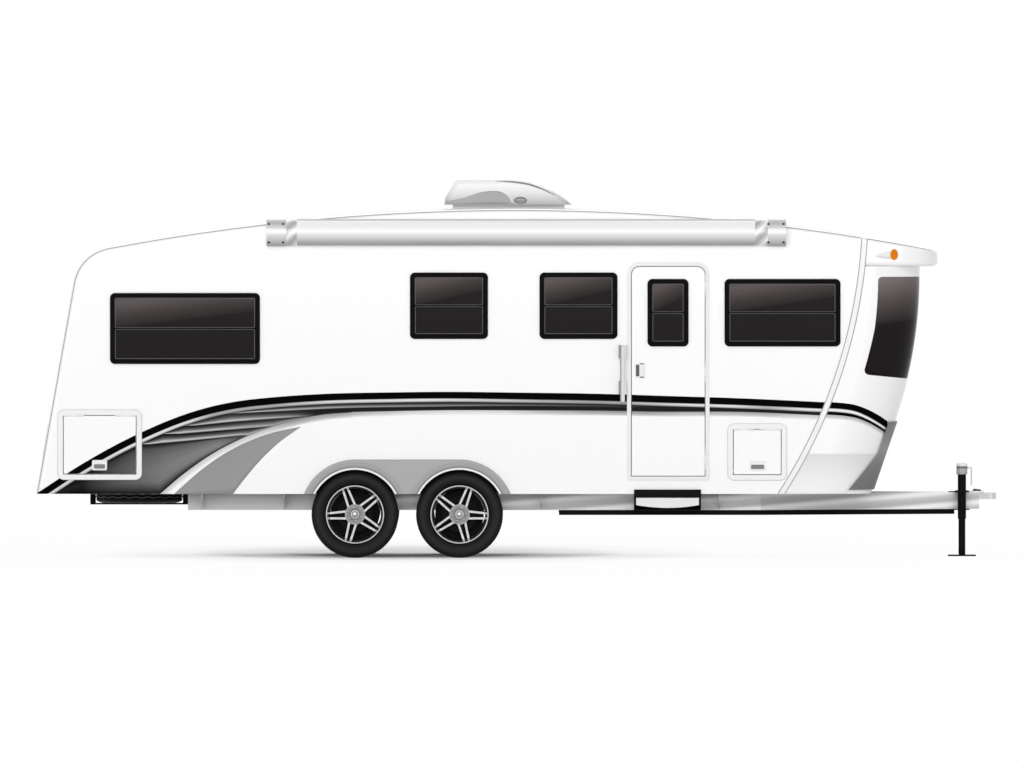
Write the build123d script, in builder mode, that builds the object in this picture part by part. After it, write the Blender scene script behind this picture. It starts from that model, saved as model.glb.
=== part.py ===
from build123d import *
import os
from math import asin, cos, hypot, radians, sin, sqrt, tan

os.makedirs("parts", exist_ok=True)

# Travel caravan, millimetres. +X points to the hitch, +Y to the left side, +Z up.
# The ground is z = 0 and the middle plane of the body is y = 0.

# Body shell
body_width = 2438.0
body_bottom = 538.0
wall_thickness = 45.0
panel_thickness = 50.0
floor_thickness = 60.0
edge_radius = 40.0
rear_foot_x = -4040.0
rear_rake = radians(10.0)
rear_corner_radius = 365.0
roof_top = 2930.0
roof_crown_x = -9.0
roof_radius = 18400.0
half_width = body_width / 2
inner_half = half_width - wall_thickness

# Seam between the side walls and the moulded front
seam_front_x = 2927.0
seam_centre_z = 2944.0
seam_radius = 4443.0
seam_centre_x = seam_front_x - seam_radius
seam_foot_x = seam_centre_x + sqrt(seam_radius ** 2 - (body_bottom - seam_centre_z) ** 2)
seam_gap = 0.4
seam_strip_width = 42.0
seam_strip_proud = 4.0

# Moulded front cap, brow, windscreen and rock guard
cap_front_x = 3390.0
cap_face_radius = 3779.0
cap_tangent_z = 2375.0
cap_knee_z = 1151.0
cap_thickness = 40.0
cap_corner_radius = 420.0
cap_overlap = 119.0
cap_back_x = seam_foot_x - cap_overlap
brow_bottom = 2450.0
brow_tip_x = 3536.0
brow_corner_radius = 330.0
screen_wrap = 356.0
screen_top = 2362.0
screen_rear_bottom = 1579.0
screen_front_bottom = 1504.0
screen_corner_radius = 35.0
screen_gap = 0.3
screen_recess = 3.0
screen_thickness = 10.0
guard_thickness = 16.0
seat_clearance = 0.2
cut_over = 1.0

# Rear edge of the rock guard, from its top down: x, z
guard_outline = [(3121.0, 1140.0), (3091.0, 1027.0), (3039.0, 874.0), (2785.0, 571.0)]

# Framed openings: the flange stands proud of the wall and covers the edge of its opening
flange_proud = 8.0
flange_cover = 15.0
jamb_clearance = 0.3
leaf_gap = 6.0
leaf_thickness = 40.0
hinge_radius = 7.0
hinge_offset = 8.0
hinge_strap = 4.0
hinge_strap_length = 32.0
knuckle_length = 60.0
knuckle_gap = 0.5

# Windows: left, right, bottom, top of the outer edge of each frame. The front one ends at the seam.
front_window_bottom = 1777.0
front_window_margin = 54.0
front_window_seam_x = seam_centre_x + sqrt(seam_radius ** 2 - (front_window_bottom - seam_centre_z) ** 2)
window_table = [
    ("rear", -3419.0, -2159.0, 1630.0, 2226.0),
    ("middle_rear", -899.0, -244.0, 1840.0, 2398.0),
    ("middle_front", 189.0, 844.0, 1840.0, 2398.0),
    ("front", 1743.0, front_window_seam_x - front_window_margin, front_window_bottom, 2344.0),
]
window_border = 38.0
window_corner = 42.0
window_least_corner = 12.0
window_proud = 12.0
window_cover = 20.0
window_bar = 16.0
glass_thickness = 6.0
glass_recess = 5.0

# Entry door, on the right side
door_left = 924.0
door_right = 1617.0
door_bottom = 651.0
door_top = 2486.0
door_band = 34.0
door_corner = 105.0
door_window_left = 1096.0
door_window_right = 1441.0
door_window_bottom = 1777.0
door_window_top = 2344.0
door_hinge_heights = (830.0, 1560.0, 2290.0)
latch_left = 991.0
latch_right = 1075.0
latch_bottom = 1512.0
latch_top = 1638.0
latch_proud = 10.0
latch_corner = 12.0
paddle_left_inset = 40.0
paddle_right_inset = 8.0
paddle_end_inset = 14.0
paddle_corner = 8.0
paddle_proud = 14.0

# Baggage hatches: name, left, right, bottom, top, latch ahead of the middle, half width of the latch.
# The front one ends at the seam.
front_hatch_bottom = 655.0
front_hatch_margin = 28.0
front_hatch_seam_x = seam_centre_x + sqrt(seam_radius ** 2 - (front_hatch_bottom - seam_centre_z) ** 2)
hatch_table = [
    ("rear", -3856.0, -3154.0, 659.0, 1243.0, -2.0, 63.0),
    ("front", 1772.0, front_hatch_seam_x - front_hatch_margin, front_hatch_bottom, 1126.0, 2.5, 71.5),
]
hatch_band = 42.0
hatch_corner = 52.0
hatch_least_corner = 10.0
hatch_hinge_inset = 130.0
hatch_latch_rise = 30.0
hatch_latch_height = 86.0
hatch_latch_corner = 14.0
hatch_latch_proud = 8.0
hatch_paddle_side = 16.0
hatch_paddle_rise = 14.0
hatch_paddle_height = 38.0
hatch_paddle_corner = 10.0
hatch_paddle_proud = 8.0

# Running gear
tyre_radius = 365.0
tyre_half_width = 112.0
tyre_shoulder_drop = 32.0
tyre_wide_radius = 300.0
tyre_side_radius = 342.0
tyre_side_inset = 10.0
tyre_corner_radius = 358.0
tyre_corner_spread = 9.0
wheel_inset = 127.0
wheel_track_half = half_width - wheel_inset
rim_radius = 245.0
rim_seat_radius = 225.7
rim_bore_radius = 217.0
rim_half_width = 104.0
rim_ring = 17.0
tyre_bead = 92.0
spoke_pairs = 5
spoke_width = 18.0
spoke_root_radius = 60.0
spoke_bite = 4.0
spoke_hub_spread = 30.0
spoke_rim_spread = 21.0
spoke_face = 84.0
spoke_depth = 26.0
hub_disc_radius = 85.0
hub_face = 78.0
hub_seat = 45.0
centre_cap_radius = 33.0
centre_cap_height = 12.0
drum_radius = 150.0
drum_back = -45.0
drum_face = 14.0
drum_wall = 12.0
drum_hub = 20.0
spindle_radius = 24.9
spindle_clearance = 0.1
spindle_end_gap = 5.0
brake_plate_radius = 205.0
brake_plate_setback = 14.0
brake_plate_thickness = 8.0
axle_beam = 84.0
arm_length = 150.0
arm_thickness = 45.0

# Wheels: name, axle place along X, side (-1 right, 1 left), turn of the spokes in degrees
rear_axle_x = -1361.0
front_axle_x = -483.0
axle_places = (rear_axle_x, front_axle_x)
wheel_table = [
    ("rear_right", rear_axle_x, -1, 39.0),
    ("front_right", front_axle_x, -1, 69.0),
    ("rear_left", rear_axle_x, 1, 39.0),
    ("front_left", front_axle_x, 1, 69.0),
]
fender_radius = 462.0
fender_opening = 377.0
fender_lip = 16.0
fender_lip_proud = 8.0
fender_proud = 40.0
fender_bottom = body_bottom
fender_edge_radius = 16.0
arch_radius = 402.0
well_radius = 428.0
well_thickness = 6.0
well_depth = 279.0
well_inner_y = half_width - well_depth

# Spare wheel, flat under the rear floor, and the cradle that holds it
spare_setback = 854.5
spare_x = rear_foot_x + spare_setback
spare_radius = 365.0
spare_bottom = 446.0
spare_top = 579.0
spare_rim_radius = 245.0
spare_rim_drop = 20.0
spare_bead_drop = 16.0
spare_wide_radius = 305.0
spare_side_inset = 18.0
spare_side_drop = 12.0
spare_corner_inset = 5.0
spare_corner_drop = 22.0
spare_tread_drop = 38.0
spare_pocket_radius = 375.0
spare_pocket_top = 582.0
carrier_reach = 413.5
carrier_left = spare_x - carrier_reach
carrier_right = spare_x + carrier_reach
carrier_bottom = 433.0
carrier_thickness = 12.0
carrier_end = 46.0
carrier_width = 120.0

# Chassis
rail_top = body_bottom
rail_bottom = 397.0
rail_inset = 419.0
rail_width = 60.0
rail_outer_y = half_width - rail_inset
rail_inner_y = rail_outer_y - rail_width
rail_web = 8.0
rail_rear_gap = 4.0
rail_rear_x = carrier_right + rail_rear_gap
drawbar_start_x = 2050.0
drawbar_tip_x = 3898.0
drawbar_tip_y = 50.0
lower_rail_start_x = 353.0
lower_rail_end_x = 3688.0
lower_rail_height = 42.0
lower_rail_inset = 6.0
first_member_setback = 68.0
cross_member_places = (rail_rear_x + first_member_setback, -1900.0, 60.0, 900.0, 1800.0)
cross_member_width = 60.0
cross_member_height = 90.0
first_outrigger_setback = 118.0
outrigger_places = (rail_rear_x + first_outrigger_setback, -1960.0, 200.0, 1700.0)
outrigger_thickness = 6.0
outrigger_tip = 30.0

# Coupler and tongue jack
ball_socket_radius = 29.9
coupler_tip_x = 4040.0
coupler_nose_radius = 50.0
coupler_bottom = 478.0
coupler_top = 534.0
socket_straight = 19.0
coupler_half = 80.0
saddle_shift = 20.0
saddle_reach = 40.0
saddle_width = 128.0
saddle_corner = 10.0
coupler_block_length = 40.0
coupler_block_width = 96.0
coupler_latch_half = 22.0
plate_thickness = 8.0
upper_plate_rear_x = 3640.0
lower_plate_rear_x = 3700.0
jack_x = 3751.0
jack_reach = 82.7
jack_tab_half = 62.0
jack_tube_radius = 35.0
jack_bore_radius = 29.3
jack_tube_bottom = 315.0
jack_head_bottom = 689.0
jack_head_top = 785.0
jack_head_radius = 46.0
jack_head_edge = 14.0
jack_head_lid = 25.0
crank_radius = 6.0
crank_height = 745.0
crank_reach = 80.0
crank_drop = 150.0
jack_leg_radius = 29.0
jack_leg_top = 470.0
jack_foot_length = 235.0
jack_foot_width = 160.0
jack_foot_thickness = 12.0
jack_foot_corner = 20.0
jack_flange_radius = 58.0

# Coupler latch: x ahead of the drawbar tip, height above the saddle
coupler_latch_outline = [(-62.0, 0.0), (26.0, 0.0), (8.0, 14.0), (-42.0, 20.0)]

# Entry step
step_left = 983.0
step_right = 1546.0
step_bottom = 395.0
step_lip_top = 575.0
step_proud = 18.0
step_depth = 330.0
step_wall = 12.0
step_clearance = 6.0
tread_depth = 280.0
tread_top = 505.0
tread_setback = 2.0
tread_thickness = 35.0
nosing_thickness = 14.0
nosing_end_drop = 60.0
nosing_mid_drop = 84.0
runner_width = 18.0
runner_height = 8.0
runner_setback = 24.0
runner_clearance = 0.3

# Awning cassette, grab handle, roof unit and lamps
awning_case_rear = -1848.0
awning_case_front = 1999.0
awning_rear = -2104.0
awning_front = 2260.0
awning_cap_length = 160.0
awning_drop = 91.0
awning_height = 214.0
awning_top = roof_top - awning_drop
awning_bottom = awning_top - awning_height
awning_depth = 112.0
awning_cap_over = 5.0
awning_foot = 40.0
awning_foot_rise = 12.0
awning_head = 18.0
awning_head_drop = 6.0
awning_bulge_rise = 10.0
handle_x = 886.0
handle_bottom = 1310.0
handle_top = 1789.0
handle_radius = 20.0
handle_reach = 56.0
handle_end_radius = 9.0
handle_brackets = (1432.0, 1732.0)
handle_bracket_height = 112.0
handle_bracket_width = 64.0
roof_unit_rear = -613.0
roof_unit_front = 462.0
roof_unit_half = 350.0
roof_unit_top = 3175.0
roof_unit_base_top = 2963.0
shroud_tail_lean = 10.0
shroud_tail_rise = 60.0
shroud_top_rear = 105.0
shroud_top_front = 480.0
shroud_nose_back = 265.0
shroud_nose_drop = 49.0
shroud_edge_radius = 55.0
roof_base_rear = -542.0
roof_base_front = 400.0
roof_base_half = 300.0
marker_x = 3168.0
marker_z = 2549.0
marker_length = 62.0
marker_height = 92.0
marker_proud = 14.0
tail_lamp_z = 980.0
tail_lamp_inset = 129.0
tail_lamp_width = 100.0
tail_lamp_height = 270.0
tail_lamp_corner = 22.0
tail_lamp_depth = 24.0
tail_lamp_proud = 2.0


def save(piece, name):
    """Label a finished piece and write it."""
    piece.part.label = name
    export_step(piece.part, f"parts/{name}.step")


def roof_height(x, inset=0.0):
    """Height of the roof arc at x, moved in by inset."""
    return roof_top - roof_radius + sqrt((roof_radius - inset) ** 2 - (x - roof_crown_x) ** 2)


def seam_at(z, outset=0.0):
    """Place along X of the seam arc at height z."""
    return seam_centre_x + sqrt((seam_radius + outset) ** 2 - (z - seam_centre_z) ** 2)


def seam_roof(outset=0.0, inset=0.0):
    """Point where the seam arc meets the roof arc."""
    z = roof_top
    for _ in range(12):
        x = seam_at(z, outset)
        z = roof_height(x, inset)
    return (x, z)


def rear_corner(inset):
    """Ends and middle of the rounded rear corner of the body, moved in by inset."""
    along = (sin(rear_rake), cos(rear_rake))
    inward = (cos(rear_rake), -sin(rear_rake))
    start_x = rear_foot_x + inward[0] * rear_corner_radius - roof_crown_x
    start_z = body_bottom + inward[1] * rear_corner_radius - (roof_top - roof_radius)
    b = along[0] * start_x + along[1] * start_z
    c = start_x ** 2 + start_z ** 2 - (roof_radius - rear_corner_radius) ** 2
    run = -b + sqrt(b * b - c)
    centre_x = roof_crown_x + start_x + along[0] * run
    centre_z = roof_top - roof_radius + start_z + along[1] * run
    reach = hypot(centre_x - roof_crown_x, centre_z - roof_top + roof_radius)
    up = ((centre_x - roof_crown_x) / reach, (centre_z - roof_top + roof_radius) / reach)
    middle = (up[0] - inward[0], up[1] - inward[1])
    middle_length = hypot(*middle)
    radius = rear_corner_radius - inset
    low = (centre_x - inward[0] * radius, centre_z - inward[1] * radius)
    mid = (centre_x + middle[0] / middle_length * radius, centre_z + middle[1] / middle_length * radius)
    high = (centre_x + up[0] * radius, centre_z + up[1] * radius)
    return low, mid, high


def rear_foot(inset, z=body_bottom):
    """Point of the raked rear wall at height z, moved in by inset."""
    return (rear_foot_x + (z - body_bottom) * tan(rear_rake) + inset / cos(rear_rake), z)


def roof_middle(x_one, x_two, inset=0.0):
    """Point of the roof arc half way between two places."""
    x = (x_one + x_two) / 2
    return (x, roof_height(x, inset))


def rounded_panel(left, right, bottom, top, radius):
    """Rectangle with four rounded corners."""
    with BuildSketch() as panel:
        with Locations(((left + right) / 2, (bottom + top) / 2)):
            RectangleRounded(right - left, top - bottom, radius)
    return panel.sketch


def arched_panel(left, right, bottom, top, radius):
    """Rectangle whose two upper corners are rounded."""
    with BuildSketch() as panel:
        with Locations(((left + right) / 2, (bottom + top) / 2)):
            Rectangle(right - left, top - bottom)
        fillet(panel.vertices().group_by(Axis.Y)[-1], radius)
    return panel.sketch


def window_panel(row, inset):
    """Outline of a window moved in by inset."""
    left, right, bottom, top = row
    return rounded_panel(left + inset, right - inset, bottom + inset, top - inset,
                         max(window_corner - inset, window_least_corner))


def door_panel(inset):
    """Outline of the entry door moved in by inset."""
    return arched_panel(door_left + inset, door_right - inset, door_bottom + inset, door_top - inset,
                        door_corner - inset)


def hatch_panel(row, inset):
    """Outline of a baggage hatch moved in by inset."""
    left, right, bottom, top = row
    return rounded_panel(left + inset, right - inset, bottom + inset, top - inset,
                         max(hatch_corner - inset, hatch_least_corner))


def outside(distance):
    """Plane parallel to the right wall, a distance outside its outer face."""
    return Plane.XZ.offset(half_width + distance)


def twin_arch(radius):
    """Outline over both wheels: an arc round each axle joined by a flat top, down to the ground."""
    rear, front = axle_places
    with BuildSketch() as arch:
        with Locations((rear, tyre_radius), (front, tyre_radius)):
            Circle(radius)
        with Locations(((rear + front) / 2, tyre_radius + radius / 2)):
            Rectangle(front - rear, radius)
        with Locations(((rear + front) / 2, tyre_radius / 2)):
            Rectangle(front - rear + 2 * radius, tyre_radius)
    return arch.sketch


def tail_lamp_plane(side):
    """Plane on the raked rear wall in the middle of a tail lamp."""
    x, z = rear_foot(0, tail_lamp_z)
    return Plane((x, side * (half_width - tail_lamp_inset), z), x_dir=(0, -1, 0),
                 z_dir=(-cos(rear_rake), 0, sin(rear_rake)))


def tail_lamp_panel(outset):
    """Outline of a tail lamp moved out by outset."""
    with BuildSketch() as panel:
        RectangleRounded(tail_lamp_width + 2 * outset, tail_lamp_height + 2 * outset,
                         tail_lamp_corner + outset)
    return panel.sketch


window_openings = [row[1:] for row in window_table]
hatch_openings = [row[1:5] for row in hatch_table]


# Side walls, one foam-cored panel each, with the window, hatch and wheel openings cut
def side_wall(has_door):
    """Right-hand side wall from the raked rear edge to the seam."""
    corner_low, corner_mid, corner_high = rear_corner(0)
    seam_top = seam_roof(-seam_gap / 2)
    seam_low = (seam_at(body_bottom, -seam_gap / 2), body_bottom)
    seam_mid_z = (seam_top[1] + body_bottom) / 2
    with BuildPart() as wall:
        with BuildSketch(outside(0)):
            with BuildLine():
                Line(rear_foot(0), corner_low)
                ThreePointArc(corner_low, corner_mid, corner_high)
                ThreePointArc(corner_high, roof_middle(corner_high[0], seam_top[0]), seam_top)
                ThreePointArc(seam_top, (seam_at(seam_mid_z, -seam_gap / 2), seam_mid_z), seam_low)
                Line(seam_low, rear_foot(0))
            make_face()
        extrude(amount=-wall_thickness)
        outer_edges = wall.faces().sort_by(Axis.Y)[0].edges()
        soft_edges = [
            e for e in outer_edges
            if e.center().X < cap_back_x and e.center().Z > body_bottom + cut_over
        ]
        fillet(soft_edges, edge_radius)
        with BuildSketch(outside(0)):
            for opening in window_openings:
                add(window_panel(opening, window_cover))
            for opening in hatch_openings:
                add(hatch_panel(opening, flange_cover))
            if has_door:
                add(door_panel(flange_cover))
            for axle_x in axle_places:
                with Locations((axle_x, tyre_radius)):
                    Circle(arch_radius)
        extrude(amount=-wall_thickness, mode=Mode.SUBTRACT)
    return wall


wall_right = side_wall(True)
save(wall_right, "wall_right")
plain_wall = side_wall(False)
with BuildPart() as wall_left:
    mirror(plain_wall.part, about=Plane.XZ)
save(wall_left, "wall_left")

# Roof panel between the walls, from the rear corner to the seam
with BuildPart() as roof:
    _, _, outer_rear = rear_corner(0)
    _, _, inner_rear = rear_corner(panel_thickness)
    outer_front = seam_roof(-seam_gap / 2)
    inner_front = seam_roof(-seam_gap / 2, panel_thickness)
    with BuildSketch(Plane.XZ):
        with BuildLine():
            ThreePointArc(outer_rear, roof_middle(outer_rear[0], outer_front[0]), outer_front)
            Line(outer_front, inner_front)
            ThreePointArc(inner_front, roof_middle(inner_rear[0], inner_front[0], panel_thickness),
                          inner_rear)
            Line(inner_rear, outer_rear)
        make_face()
    extrude(amount=inner_half, both=True)
save(roof, "roof")

# Rear wall with the rounded corner that rolls into the roof
with BuildPart() as rear_wall:
    outer_low, outer_mid, outer_high = rear_corner(0)
    inner_low, inner_mid, inner_high = rear_corner(panel_thickness)
    with BuildSketch(Plane.XZ):
        with BuildLine():
            Line(rear_foot(0), outer_low)
            ThreePointArc(outer_low, outer_mid, outer_high)
            Line(outer_high, inner_high)
            ThreePointArc(inner_high, inner_mid, inner_low)
            Line(inner_low, rear_foot(panel_thickness))
            Line(rear_foot(panel_thickness), rear_foot(0))
        make_face()
    extrude(amount=inner_half, both=True)
    for side in (-1, 1):
        with BuildSketch(tail_lamp_plane(side)):
            add(tail_lamp_panel(jamb_clearance))
        extrude(amount=-(tail_lamp_depth + jamb_clearance), mode=Mode.SUBTRACT)
save(rear_wall, "rear_wall")


# Moulded front: every skin is the same block, moved in or out by an inset
def front_block(inset, bottom, top, back_x):
    """Solid behind the front skin, with its upright corners rounded."""
    lean = asin((cap_tangent_z - cap_knee_z) / cap_face_radius)
    radius = cap_face_radius - inset
    centre_x = cap_front_x - cap_face_radius
    knee = (centre_x + radius * cos(lean), cap_tangent_z - radius * sin(lean))
    middle = (centre_x + radius * cos(lean / 2), cap_tangent_z - radius * sin(lean / 2))
    brow_foot = (centre_x + radius, cap_tangent_z)
    foot = (knee[0] - (knee[1] - bottom) * tan(lean), bottom)
    with BuildPart() as block:
        with BuildSketch(Plane.XZ):
            with BuildLine():
                Polyline((back_x, top), (back_x, bottom), foot, knee)
                ThreePointArc(knee, middle, brow_foot)
                Polyline(brow_foot, (brow_foot[0], top), (back_x, top))
            make_face()
        extrude(amount=half_width - inset, both=True)
        side_edges = block.edges().filter_by(GeomType.LINE) + block.edges().filter_by(GeomType.CIRCLE)
        upright = [
            e for e in side_edges
            if abs(e.center().Y) > 1 and abs(e.tangent_at(0.5).Z) > 0.5 and e.center().X > back_x + 1
        ]
        fillet(upright, cap_corner_radius - inset)
    return block.part


def seam_cutter():
    """Everything behind the seam arc."""
    with BuildPart() as cutter:
        with BuildSketch(Plane.XZ):
            with Locations((seam_centre_x, seam_centre_z)):
                Circle(seam_radius + seam_gap / 2)
        extrude(amount=body_width, both=True)
    return cutter.part


def screen_cutter(inset):
    """Wrap-round windscreen outline, run through the whole width."""
    radius = cap_face_radius - screen_wrap - inset
    centre_x = cap_front_x - cap_face_radius

    def rear_edge(z):
        return (centre_x + sqrt(radius ** 2 - (z - cap_tangent_z) ** 2) + 2 * inset, z)

    top = screen_top - inset
    bottom = screen_rear_bottom + inset
    slope = (screen_front_bottom - screen_rear_bottom) / screen_wrap
    ahead = brow_tip_x + screen_wrap
    low = rear_edge(bottom)
    high = rear_edge(top)
    with BuildPart() as cutter:
        with BuildSketch(Plane.XZ) as outline:
            with BuildLine():
                ThreePointArc(high, rear_edge((top + bottom) / 2), low)
                Polyline(low, (ahead, bottom + slope * (ahead - low[0])), (ahead, top), high)
            make_face()
            fillet(outline.vertices().group_by(Axis.X)[0] + outline.vertices().group_by(Axis.X)[1],
                   screen_corner_radius)
        extrude(amount=body_width, both=True)
    return cutter.part


cap_outer = front_block(0, body_bottom, brow_bottom, cap_back_x)
cap_cavity = front_block(cap_thickness, body_bottom - cut_over, brow_bottom + cut_over,
                         cap_back_x - cut_over)
behind_seam = seam_cutter()

with BuildPart() as front_cap:
    add(cap_outer)
    add(cap_cavity, mode=Mode.SUBTRACT)
    add(behind_seam, mode=Mode.SUBTRACT)
    add(screen_cutter(0), mode=Mode.SUBTRACT)
save(front_cap, "front_cap")

# Windscreen, one bent sheet let into the cap
with BuildPart() as windscreen:
    add(front_block(screen_recess, body_bottom, brow_bottom, cap_back_x))
    add(front_block(screen_recess + screen_thickness, body_bottom - cut_over, brow_bottom + cut_over,
                    cap_back_x - cut_over), mode=Mode.SUBTRACT)
    add(screen_cutter(screen_gap), mode=Mode.INTERSECT)
save(windscreen, "windscreen")

# Rock guard, a thick sheet over the lower front and its corners
with BuildPart() as rock_guard:
    add(front_block(-guard_thickness, body_bottom, brow_bottom, cap_back_x))
    add(front_block(-seat_clearance, body_bottom - cut_over, brow_bottom + cut_over, cap_back_x - cut_over),
        mode=Mode.SUBTRACT)
    with BuildSketch(Plane.XZ):
        with BuildLine():
            Polyline(*guard_outline, (brow_tip_x, guard_outline[-1][1]), (brow_tip_x, guard_outline[0][1]),
                     close=True)
        make_face()
    extrude(amount=body_width, both=True, mode=Mode.INTERSECT)
save(rock_guard, "rock_guard")

# Space inside the brow: the cap's cavity carried up to the underside of the roof
with BuildPart() as brow_cavity:
    add(front_block(cap_thickness, body_bottom - cut_over, roof_top, cap_back_x - cut_over))
    with BuildSketch(Plane.XZ):
        with BuildLine():
            rear_x = cap_back_x - cut_over
            low_z = brow_bottom - cut_over
            under_rear = (rear_x, roof_height(rear_x, panel_thickness))
            under_front = (brow_tip_x, roof_height(brow_tip_x, panel_thickness))
            Polyline(under_rear, (rear_x, low_z), (brow_tip_x, low_z), under_front)
            ThreePointArc(under_front, roof_middle(brow_tip_x, rear_x, panel_thickness), under_rear)
        make_face()
    extrude(amount=body_width, both=True, mode=Mode.INTERSECT)

# Brow, the moulding over the windscreen, open to the cabin below and behind
with BuildPart() as brow:
    tip_top = roof_height(brow_tip_x)
    with BuildSketch(Plane.XZ):
        with BuildLine():
            Polyline((cap_back_x, roof_height(cap_back_x)), (cap_back_x, brow_bottom),
                     (brow_tip_x, brow_bottom), (brow_tip_x, tip_top))
            ThreePointArc((brow_tip_x, tip_top), roof_middle(brow_tip_x, cap_back_x),
                          (cap_back_x, roof_height(cap_back_x)))
        make_face()
    extrude(amount=half_width, both=True)
    tip_edges = brow.edges().filter_by(Axis.Z).group_by(Axis.X)[-1]
    fillet(tip_edges, brow_corner_radius)
    top_edges = [
        e for e in brow.edges()
        if e.center().Z > roof_height(brow_tip_x) - 1 and e.center().X > cap_back_x + 1
    ]
    fillet(top_edges, edge_radius)
    tip_low = [
        e for e in brow.edges().group_by(Axis.Z)[0]
        if e.center().X > cap_front_x - cap_corner_radius
    ]
    fillet(tip_low, edge_radius)
    add(behind_seam, mode=Mode.SUBTRACT)
    add(brow_cavity.part, mode=Mode.SUBTRACT)
save(brow, "brow")

# Seam strips, thin bright mouldings over the joint on both sides
with BuildPart() as seam_strips:
    strip_half = seam_strip_width / 2
    top_rear = seam_roof(-strip_half, edge_radius)
    top_front = seam_roof(strip_half, edge_radius)
    middle_z = (body_bottom + top_rear[1]) / 2
    with BuildSketch(outside(0)):
        with BuildLine():
            ThreePointArc((seam_at(body_bottom, -strip_half), body_bottom),
                          (seam_at(middle_z, -strip_half), middle_z), top_rear)
            Line(top_rear, top_front)
            ThreePointArc(top_front, (seam_at(middle_z, strip_half), middle_z),
                          (seam_at(body_bottom, strip_half), body_bottom))
            Line((seam_at(body_bottom, strip_half), body_bottom),
                 (seam_at(body_bottom, -strip_half), body_bottom))
        make_face()
    extrude(amount=seam_strip_proud)
    mirror(about=Plane.XZ)
save(seam_strips, "seam_strips")

# Floor, one slab from the rear wall into the cap, cut round the wheel wells and the spare wheel
with BuildPart() as floor:
    floor_top = body_bottom + floor_thickness
    lean = asin((cap_tangent_z - cap_knee_z) / cap_face_radius)
    floor_front_x = (cap_front_x - cap_face_radius + cap_face_radius * cos(lean)
                     - (cap_knee_z - body_bottom) * tan(lean) - cap_thickness / cos(lean) - leaf_gap)
    with BuildSketch(Plane.XZ):
        Polygon(rear_foot(panel_thickness), (floor_front_x, body_bottom), (floor_front_x, floor_top),
                rear_foot(panel_thickness, floor_top), align=None)
    extrude(amount=inner_half, both=True)
    fillet(floor.edges().filter_by(Axis.Z).group_by(Axis.X)[-1], cap_corner_radius - cap_thickness)
    for side in (-1, 1):
        with BuildSketch(Plane.XZ.offset(-side * well_inner_y)):
            add(twin_arch(well_radius + jamb_clearance))
        extrude(amount=-side * (inner_half - well_inner_y), mode=Mode.SUBTRACT)
    with BuildSketch(Plane.XY.offset(body_bottom)):
        with Locations((spare_x, 0)):
            Circle(spare_pocket_radius)
    extrude(amount=spare_pocket_top - body_bottom, mode=Mode.SUBTRACT)
save(floor, "floor")

# Wheel wells, pressed tubs that stand through the floor
with BuildPart() as wheel_wells:
    with BuildSketch(Plane.XZ.offset(inner_half)):
        add(twin_arch(well_radius))
        add(twin_arch(well_radius - well_thickness), mode=Mode.SUBTRACT)
    extrude(amount=-(inner_half - well_inner_y))
    with BuildSketch(Plane.XZ.offset(well_inner_y + well_thickness)):
        add(twin_arch(well_radius))
    extrude(amount=-well_thickness)
    with BuildSketch(Plane.XY.offset(body_bottom)):
        Rectangle(2 * body_width, 2 * body_width)
    extrude(amount=-body_width, mode=Mode.SUBTRACT)
    mirror(about=Plane.XZ)
save(wheel_wells, "wheel_wells")

# Fenders, double-arched mouldings with a raised lip round each wheel
with BuildPart() as fenders:
    with BuildSketch(outside(0)):
        add(twin_arch(fender_radius))
        for axle_x in axle_places:
            with Locations((axle_x, tyre_radius)):
                Circle(fender_opening, mode=Mode.SUBTRACT)
        with Locations((0, fender_bottom - body_width)):
            Rectangle(4 * body_width, 2 * body_width, mode=Mode.SUBTRACT)
    extrude(amount=fender_proud)
    crown_edges = [
        e for e in fenders.faces().sort_by(Axis.Y)[0].edges()
        if e.vertices().sort_by(Axis.Z)[-1].Z > tyre_radius + fender_radius - 1
    ]
    fillet(crown_edges, fender_edge_radius)
    with BuildSketch(outside(fender_proud)):
        for axle_x in axle_places:
            with Locations((axle_x, tyre_radius)):
                Circle(fender_opening + fender_lip)
        for axle_x in axle_places:
            with Locations((axle_x, tyre_radius)):
                Circle(fender_opening, mode=Mode.SUBTRACT)
        with Locations((0, fender_bottom - body_width)):
            Rectangle(4 * body_width, 2 * body_width, mode=Mode.SUBTRACT)
    extrude(amount=fender_lip_proud)
    mirror(about=Plane.XZ)
save(fenders, "fenders")

# Window frames with a bar at half height, and their panes
with BuildPart() as window_frames:
    for opening in window_openings:
        with BuildSketch(outside(0)):
            add(window_panel(opening, 0))
            add(window_panel(opening, window_border), mode=Mode.SUBTRACT)
        extrude(amount=window_proud)
        with BuildSketch(outside(0)):
            add(window_panel(opening, window_cover + jamb_clearance))
            add(window_panel(opening, window_border), mode=Mode.SUBTRACT)
        extrude(amount=-wall_thickness)
        left, right, bottom, top = opening
        middle = (bottom + top) / 2
        with BuildSketch(outside(window_proud)):
            with Locations(((left + right) / 2, middle)):
                Rectangle(right - left - window_border, window_bar)
        extrude(amount=-(glass_recess - jamb_clearance))
    mirror(about=Plane.XZ)
save(window_frames, "window_frames")

with BuildPart() as window_glass:
    for opening in window_openings:
        with BuildSketch(outside(window_proud - glass_recess)):
            add(window_panel(opening, window_border + jamb_clearance))
        extrude(amount=-glass_thickness)
    mirror(about=Plane.XZ)
save(window_glass, "window_glass")

# Entry door: frame, leaf, window and latch
door_inner_right = door_right - door_band
door_axis_x = door_inner_right - leaf_gap / 2
axis_out = flange_proud + hinge_offset
door_leaf_inset = door_band + leaf_gap

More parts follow.
